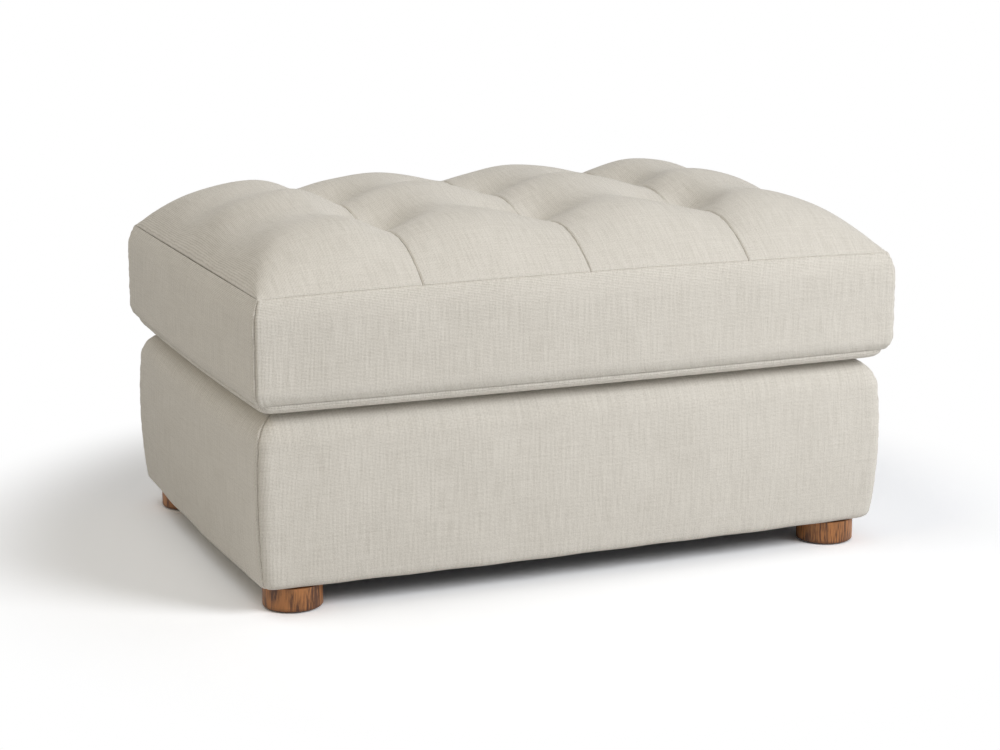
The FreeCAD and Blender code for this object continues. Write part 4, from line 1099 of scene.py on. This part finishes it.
def base_profile(sizes):
    """Heights and insets up the base's side, from the fold under the rails to the deck seam."""
    low_z = COVER_BOTTOM_Z + sizes.bottom_round
    high_z = DECK_Z - sizes.top_round

    def inset(z):
        return sizes.swell * ((z - sizes.widest_z) / (sizes.widest_z - COVER_BOTTOM_Z)) ** 2

    profile = [(COVER_BOTTOM_Z, sizes.fold_width), (COVER_BOTTOM_Z, inset(low_z) + 2 * sizes.bottom_round)]
    for degrees in (90, 75, 60, 45, 30, 15):
        turn = math.radians(degrees)
        profile.append((low_z - sizes.bottom_round * math.sin(turn),
                        inset(low_z) + sizes.bottom_round * (1 - math.cos(turn))))
    for step in range(FLANK_STEPS + 1):
        z = mix(low_z, high_z, step / FLANK_STEPS)
        profile.append((z, inset(z)))
    for degrees in range(6, 91, 6):
        turn = math.radians(degrees)
        profile.append((high_z + sizes.top_round * math.sin(turn),
                        inset(high_z) + sizes.top_round * (1 - math.cos(turn))))
    return np.array(profile)


def base_points(side, look, sizes):
    """A grid up one side of the base, from under the rails over the top edge to the deck seam."""
    long_side = side in ("front", "back")
    half_run = sizes.half_length if long_side else sizes.half_depth
    half_out = sizes.half_depth if long_side else sizes.half_length
    run_end, out_end = sizes.deck_seam_x, sizes.deck_seam_y
    if not long_side:
        run_end, out_end = out_end, run_end
    profile = base_profile(sizes)
    last = profile[-1, 1]
    out_inset = np.append(profile[:, 1], max(out_end, last))
    run_inset = np.append(profile[:, 1], max(run_end, last))
    levels = np.append(profile[:, 0], DECK_Z)
    lengths = np.concatenate([[0.0], np.cumsum(np.hypot(np.diff(levels), np.diff(out_inset)))])
    wanted = spread(lengths[-1], BASE_STEP, look.seam_depth)
    z = np.interp(wanted, lengths, levels)
    out_inset = np.interp(wanted, lengths, out_inset)
    run_inset = np.interp(wanted, lengths, run_inset)
    sweep = FRONT_SWEEP if long_side else END_SWEEP
    nominal = 2 * half_run
    rows, runs = [], []

    def distances(total):
        return spread(nominal, BASE_STEP, look.seam_depth) * total / nominal

    for height, inward_out, inward_run in zip(z, out_inset, run_inset):
        flat = min(max(0.0, (inward_out - FLAT_START) / FLAT_RUN), 1.0)
        corner = mix(sizes.corner_round, FLAT_CORNER, flat)
        bow = sizes.bow * (1 - flat)
        run, out, travelled = side_path(half_run - inward_run, half_out - inward_out, bow, corner, sweep,
                                        distances)
        rows.append(placed(side, run, out, np.full(run.shape, height)))
        runs.append(travelled)
    return np.array(rows), np.array(runs), wanted


def base_panel(side, look, sizes):
    """One side of the base cover."""
    points, run, wanted = base_points(side, look, sizes)
    total = run[:, -1:]
    up = wanted[:, None] + 0 * run
    panel = Panel("base_" + side + "_panel", points, run - total / 2, up, look)
    panel.seam(run, up, pucker=look.pucker * 1.5, phase=0.5)
    panel.seam(total - run, up, pucker=look.pucker * 1.5, phase=1.9)
    panel.seam(wanted[-1] - up, run, phase=0.6)
    panel.waves(np.minimum(np.minimum(run, total - run), wanted[-1] - up) * (up > WAVES_ABOVE))
    panel.finish("base", "base_" + side + "_cover", 0.8)


class FOOTSTOOL_OT_add_base_cover(bpy.types.Operator):
    """Adds the four sides of the base's cover"""
    bl_idname = "footstool.add_base_cover"
    bl_label = "Add Base Cover"

    def execute(self, context):
        for side in SIDES:
            base_panel(side, context.scene.stool_cloth, context.scene.stool_base)
        return {"FINISHED"}


FACING_CLEARANCE = 0.002
PADDING_LOW, PADDING_HIGH = 0.002, 0.001


def side_padding(side, look, sizes):
    """The foam between a side's facing and its cover."""
    points = base_points(side, look, sizes)[0]
    points = points - outward_normals(points) * sizes.padding_room
    axis = 1 if side in ("front", "back") else 0
    low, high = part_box(side + "_padding")
    face = low[axis] if side in ("back", "right") else high[axis]
    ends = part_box("front_padding")[1].x if axis == 1 else -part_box("front_facing")[0].y
    out, run = np.abs(points[..., axis]), np.abs(points[..., 1 - axis])
    rows = out.min(axis=1) > abs(face) + FACING_CLEARANCE
    columns = run[rows].max(axis=0) < ends
    outer = points[rows][:, columns]
    outer[..., 2] = np.clip(outer[..., 2], low.z + PADDING_LOW, high.z - PADDING_HIGH)
    inner = outer.copy()
    inner[..., axis] = face
    filling("padding_" + side, between(outer, inner), "base", side + "_padding", "foam")


DECK_PAD_COLUMNS, DECK_PAD_ROWS = 61, 41
DECK_PAD_ROOM = 0.006
DECK_PAD_GAP = 0.0008
DECK_PAD_EASE, DECK_PAD_EASE_RUN = 0.006, 0.04


def deck_pad():
    """The foam over the springs, eased down at its edges."""
    low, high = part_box("deck_foam")
    half_x, half_y = high.x - DECK_PAD_ROOM, high.y - DECK_PAD_ROOM
    x, y = np.meshgrid(np.linspace(-half_x, half_x, DECK_PAD_COLUMNS),
                       np.linspace(-half_y, half_y, DECK_PAD_ROWS))
    edge = np.minimum(half_x - np.abs(x), half_y - np.abs(y))
    eased = DECK_PAD_EASE * np.clip(1 - edge / DECK_PAD_EASE_RUN, 0.0, 1.0) ** 2
    top = high.z - DECK_PAD_GAP - eased
    outer = np.stack([x, y, top], axis=-1)
    inner = np.stack([x, y, np.full(x.shape, low.z)], axis=-1)
    filling("deck_pad", between(outer, inner), "base", "deck_foam", "foam")


class FOOTSTOOL_OT_add_base_padding(bpy.types.Operator):
    """Adds the foam on the base's sides and deck"""
    bl_idname = "footstool.add_base_padding"
    bl_label = "Add Base Padding"

    def execute(self, context):
        look, sizes = context.scene.stool_cloth, context.scene.stool_base
        for side in SIDES:
            side_padding(side, look, sizes)
        deck_pad()
        return {"FINISHED"}


DUST_COLUMNS, DUST_ROWS = 121, 81
DUST_THICKNESS = 0.0005
DUST_GAP = 0.0006
DUST_SAG, DUST_SAG_RUN = 0.0012, 0.05
DUST_PUCKER, DUST_PUCKER_SIZE = 0.0003, 0.03


class FOOTSTOOL_OT_add_dust_cover(bpy.types.Operator):
    """Adds the thin dark cloth under the base"""
    bl_idname = "footstool.add_dust_cover"
    bl_label = "Add Dust Cover"

    def execute(self, context):
        low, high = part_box("dust_cover")
        x, y = np.meshgrid(np.linspace(low.x, high.x, DUST_COLUMNS), np.linspace(high.y, low.y, DUST_ROWS))
        edge = np.minimum(high.x - np.abs(x), high.y - np.abs(y))
        middle = np.clip(edge / DUST_SAG_RUN, 0.0, 1.0)
        waves = padding_waves(np.stack([x, y, 0 * x], axis=-1))
        z = high.z - DUST_GAP - DUST_SAG * middle * (1 + 0.4 * waves)
        z -= DUST_PUCKER * (1 - middle) * (1 + ripple(x + y, DUST_PUCKER_SIZE, 0.6))
        made = grid_object("dust_cloth_sheet", np.stack([x, y, z], axis=-1), x, y)
        add_wall(made, DUST_THICKNESS, 0.0)
        hand_over(made, "base", "dust_cover", "dust_cloth")
        return {"FINISHED"}


DECK_STEP = 0.007


class FOOTSTOOL_OT_add_deck(bpy.types.Operator):
    """Adds the deck panel under the cushion"""
    bl_idname = "footstool.add_deck"
    bl_label = "Add Deck"

    def execute(self, context):
        look, sizes = context.scene.stool_cloth, context.scene.stool_base
        half_x = sizes.half_length - max(sizes.deck_seam_x, base_profile(sizes)[-1, 1])
        half_y = sizes.half_depth - sizes.deck_seam_y
        across = spread(2 * half_x, DECK_STEP, look.seam_depth)
        along = spread(2 * half_y, DECK_STEP, look.seam_depth)
        x = (across - half_x)[None, :] + 0 * along[:, None]
        y = (along - half_y)[:, None] + 0 * across[None, :]
        panel = Panel("deck_top", np.stack([x, y, np.full(x.shape, DECK_Z)], axis=-1), x, y, look)
        left, right = half_x + x, half_x - x
        front, back = half_y + y, half_y - y
        for distance, run, phase in ((left, y, 0.4), (right, y, 1.2), (front, x, 1.9), (back, x, 2.7)):
            panel.seam(distance, run, pucker=0.0, phase=phase)
        panel.finish("base", "deck_panel", 0.5)
        return {"FINISHED"}


# Stage

CAMERA_PLACE = (-1.15125, -2.79030, 0.88751)
CAMERA_TILT = 77.1353
CAMERA_TURN = -22.4514
SENSOR_WIDTH = 36.0
WORLD_TINT = (1.0, 0.975, 0.935)
WHITE = (1.0, 1.0, 1.0)
FLOOR_SIZE = 40.0
FLOOR_ROUGHNESS = 0.9
FLOOR_SHADE = (0.80, 0.80, 0.80)
FLOOR_SEEN = (1.22, 1.26, 1.34)
# Where the floor passes into plain white.
FLOOR_WHITE_FROM, FLOOR_WHITE_TO = 0.54, 0.80

LAMPS = {
    "key": ((2.3, -2.9, 2.5), (0.0, 0.0, 0.2), 2.2, (1.0, 0.985, 0.96)),
    "fill": ((-2.8, -1.0, 2.2), (0.0, 0.0, 0.25), 1.3, (1.0, 0.82, 0.52)),
    "top": ((-1.3, 0.2, 2.6), (0.0, 0.0, 0.2), 1.6, (1.0, 0.97, 0.91)),
}


def lamp(name, place, aim, size, power, tint):
    """A round soft lamp at its place, turned to its aim."""
    data = bpy.data.lights.new(name, "AREA")
    data.shape = "DISK"
    data.size = size
    data.energy = power
    data.color = tint
    made = linked(name, data)
    made.location = place
    made.rotation_euler = (Vector(aim) - Vector(place)).to_track_quat("-Z", "Y").to_euler()


def seen_directly(tree):
    """1 for rays from the camera and for those that metal and glass send on, else 0."""
    paths = node(tree, "ShaderNodeLightPath")
    sent_on = math_node(tree, "MAXIMUM", paths.outputs["Is Glossy Ray"], paths.outputs["Is Transmission Ray"])
    return math_node(tree, "MAXIMUM", paths.outputs["Is Camera Ray"], sent_on)


def floor_material():
    """White paper that keeps the stool's shadow near it and is plain white further off."""
    tree, shader = new_material("studio_floor", FLOOR_ROUGHNESS)
    tree.nodes.remove(shader)
    output = tree.nodes["Material Output"]
    glow = node(tree, "ShaderNodeEmission", {"Color": opaque(WHITE), "Strength": 1.0})
    seen = seen_directly(tree)
    shade = mixed(tree, seen, opaque(FLOOR_SHADE), opaque(FLOOR_SEEN))
    paper = node(tree, "ShaderNodeBsdfDiffuse", {"Color": shade})
    place = node(tree, "ShaderNodeVectorMath", {0: object_place(tree)}, operation="LENGTH").outputs["Value"]
    far = node(tree, "ShaderNodeMapRange", {"Value": place, "From Min": FLOOR_WHITE_FROM,
                                            "From Max": FLOOR_WHITE_TO}, interpolation_type="SMOOTHSTEP")
    share = math_node(tree, "MULTIPLY", far.outputs["Result"], seen)
    both = node(tree, "ShaderNodeMixShader", {0: share, 1: paper.outputs[0], 2: glow.outputs[0]})
    tree.links.new(both.outputs[0], output.inputs["Surface"])
    return finish_of("studio_floor")


def white_world(strength):
    """Even light all round, and plain white where it is seen."""
    world = bpy.data.worlds.new("studio_world")
    bpy.context.scene.world = world
    world.use_nodes = True
    tree = world.node_tree
    background = tree.nodes["Background"]
    seen = seen_directly(tree)
    power = math_node(tree, "MULTIPLY_ADD", seen, 1.0 - strength, strength)
    tree.links.new(power, background.inputs["Strength"])
    tint = mixed(tree, seen, opaque(WORLD_TINT), opaque(WHITE))
    tree.links.new(tint, background.inputs["Color"])


class FOOTSTOOL_OT_set_stage(bpy.types.Operator):
    """Adds the camera, the lamps and the white floor"""
    bl_idname = "footstool.set_stage"
    bl_label = "Set Stage"

    def execute(self, context):
        look = context.scene.stool_stage
        context.scene.view_settings.view_transform = "Standard"
        data = bpy.data.cameras.new("studio_camera")
        data.lens = look.lens
        data.sensor_width = SENSOR_WIDTH
        camera = linked("studio_camera", data)
        camera.location = CAMERA_PLACE
        camera.rotation_euler = Euler((math.radians(CAMERA_TILT), 0.0, math.radians(CAMERA_TURN)))
        context.scene.camera = camera
        for name, (place, aim, size, tint) in LAMPS.items():
            lamp(name + "_lamp", place, aim, size, getattr(look, name + "_power"), tint)
        deselect_all()
        bpy.ops.mesh.primitive_plane_add(size=FLOOR_SIZE, location=(0.0, 0.0, 0.0))
        floor = context.active_object
        floor.name = "studio_floor"
        floor.data.materials.append(floor_material())
        white_world(look.world_strength)
        return {"FINISHED"}


class FOOTSTOOL_PT_panel(bpy.types.Panel):
    """Lists the stool's groups of pieces"""
    bl_label = "Footstool"
    bl_idname = "FOOTSTOOL_PT_panel"
    bl_space_type = "VIEW_3D"
    bl_region_type = "UI"
    bl_category = "Footstool"

    def draw(self, context):
        for operator in OPERATORS:
            self.layout.operator(operator.bl_idname)
        for group in GROUPS:
            box = self.layout.box()
            settings = getattr(context.scene, group)
            for key in GROUPS[group].__annotations__:
                box.prop(settings, key)


GROUPS = {"stool_cushion": CushionSizes, "stool_base": BaseSizes, "stool_cloth": ClothLook,
          "stool_wood": WoodLook, "stool_stage": StageLook}
OPERATORS = (FOOTSTOOL_OT_make_materials, FOOTSTOOL_OT_add_cushion_top, FOOTSTOOL_OT_add_cushion_border,
             FOOTSTOOL_OT_add_cushion_bottom, FOOTSTOOL_OT_add_cushion_filling, FOOTSTOOL_OT_add_zip_teeth,
             FOOTSTOOL_OT_add_base_cover, FOOTSTOOL_OT_add_deck, FOOTSTOOL_OT_add_base_padding,
             FOOTSTOOL_OT_add_dust_cover, FOOTSTOOL_OT_finish_frame, FOOTSTOOL_OT_set_stage)


def register():
    for name, group in GROUPS.items():
        bpy.utils.register_class(group)
        setattr(bpy.types.Scene, name, PointerProperty(type=group))
    for operator in OPERATORS:
        bpy.utils.register_class(operator)
    bpy.utils.register_class(FOOTSTOOL_PT_panel)


def unregister():
    bpy.utils.unregister_class(FOOTSTOOL_PT_panel)
    for operator in reversed(OPERATORS):
        bpy.utils.unregister_class(operator)
    for name, group in reversed(GROUPS.items()):
        delattr(bpy.types.Scene, name)
        bpy.utils.unregister_class(group)


def main():
    register()
    for operator in OPERATORS:
        group, name = operator.bl_idname.split(".")
        getattr(getattr(bpy.ops, group), name)()


if __name__ == "__main__":
    main()
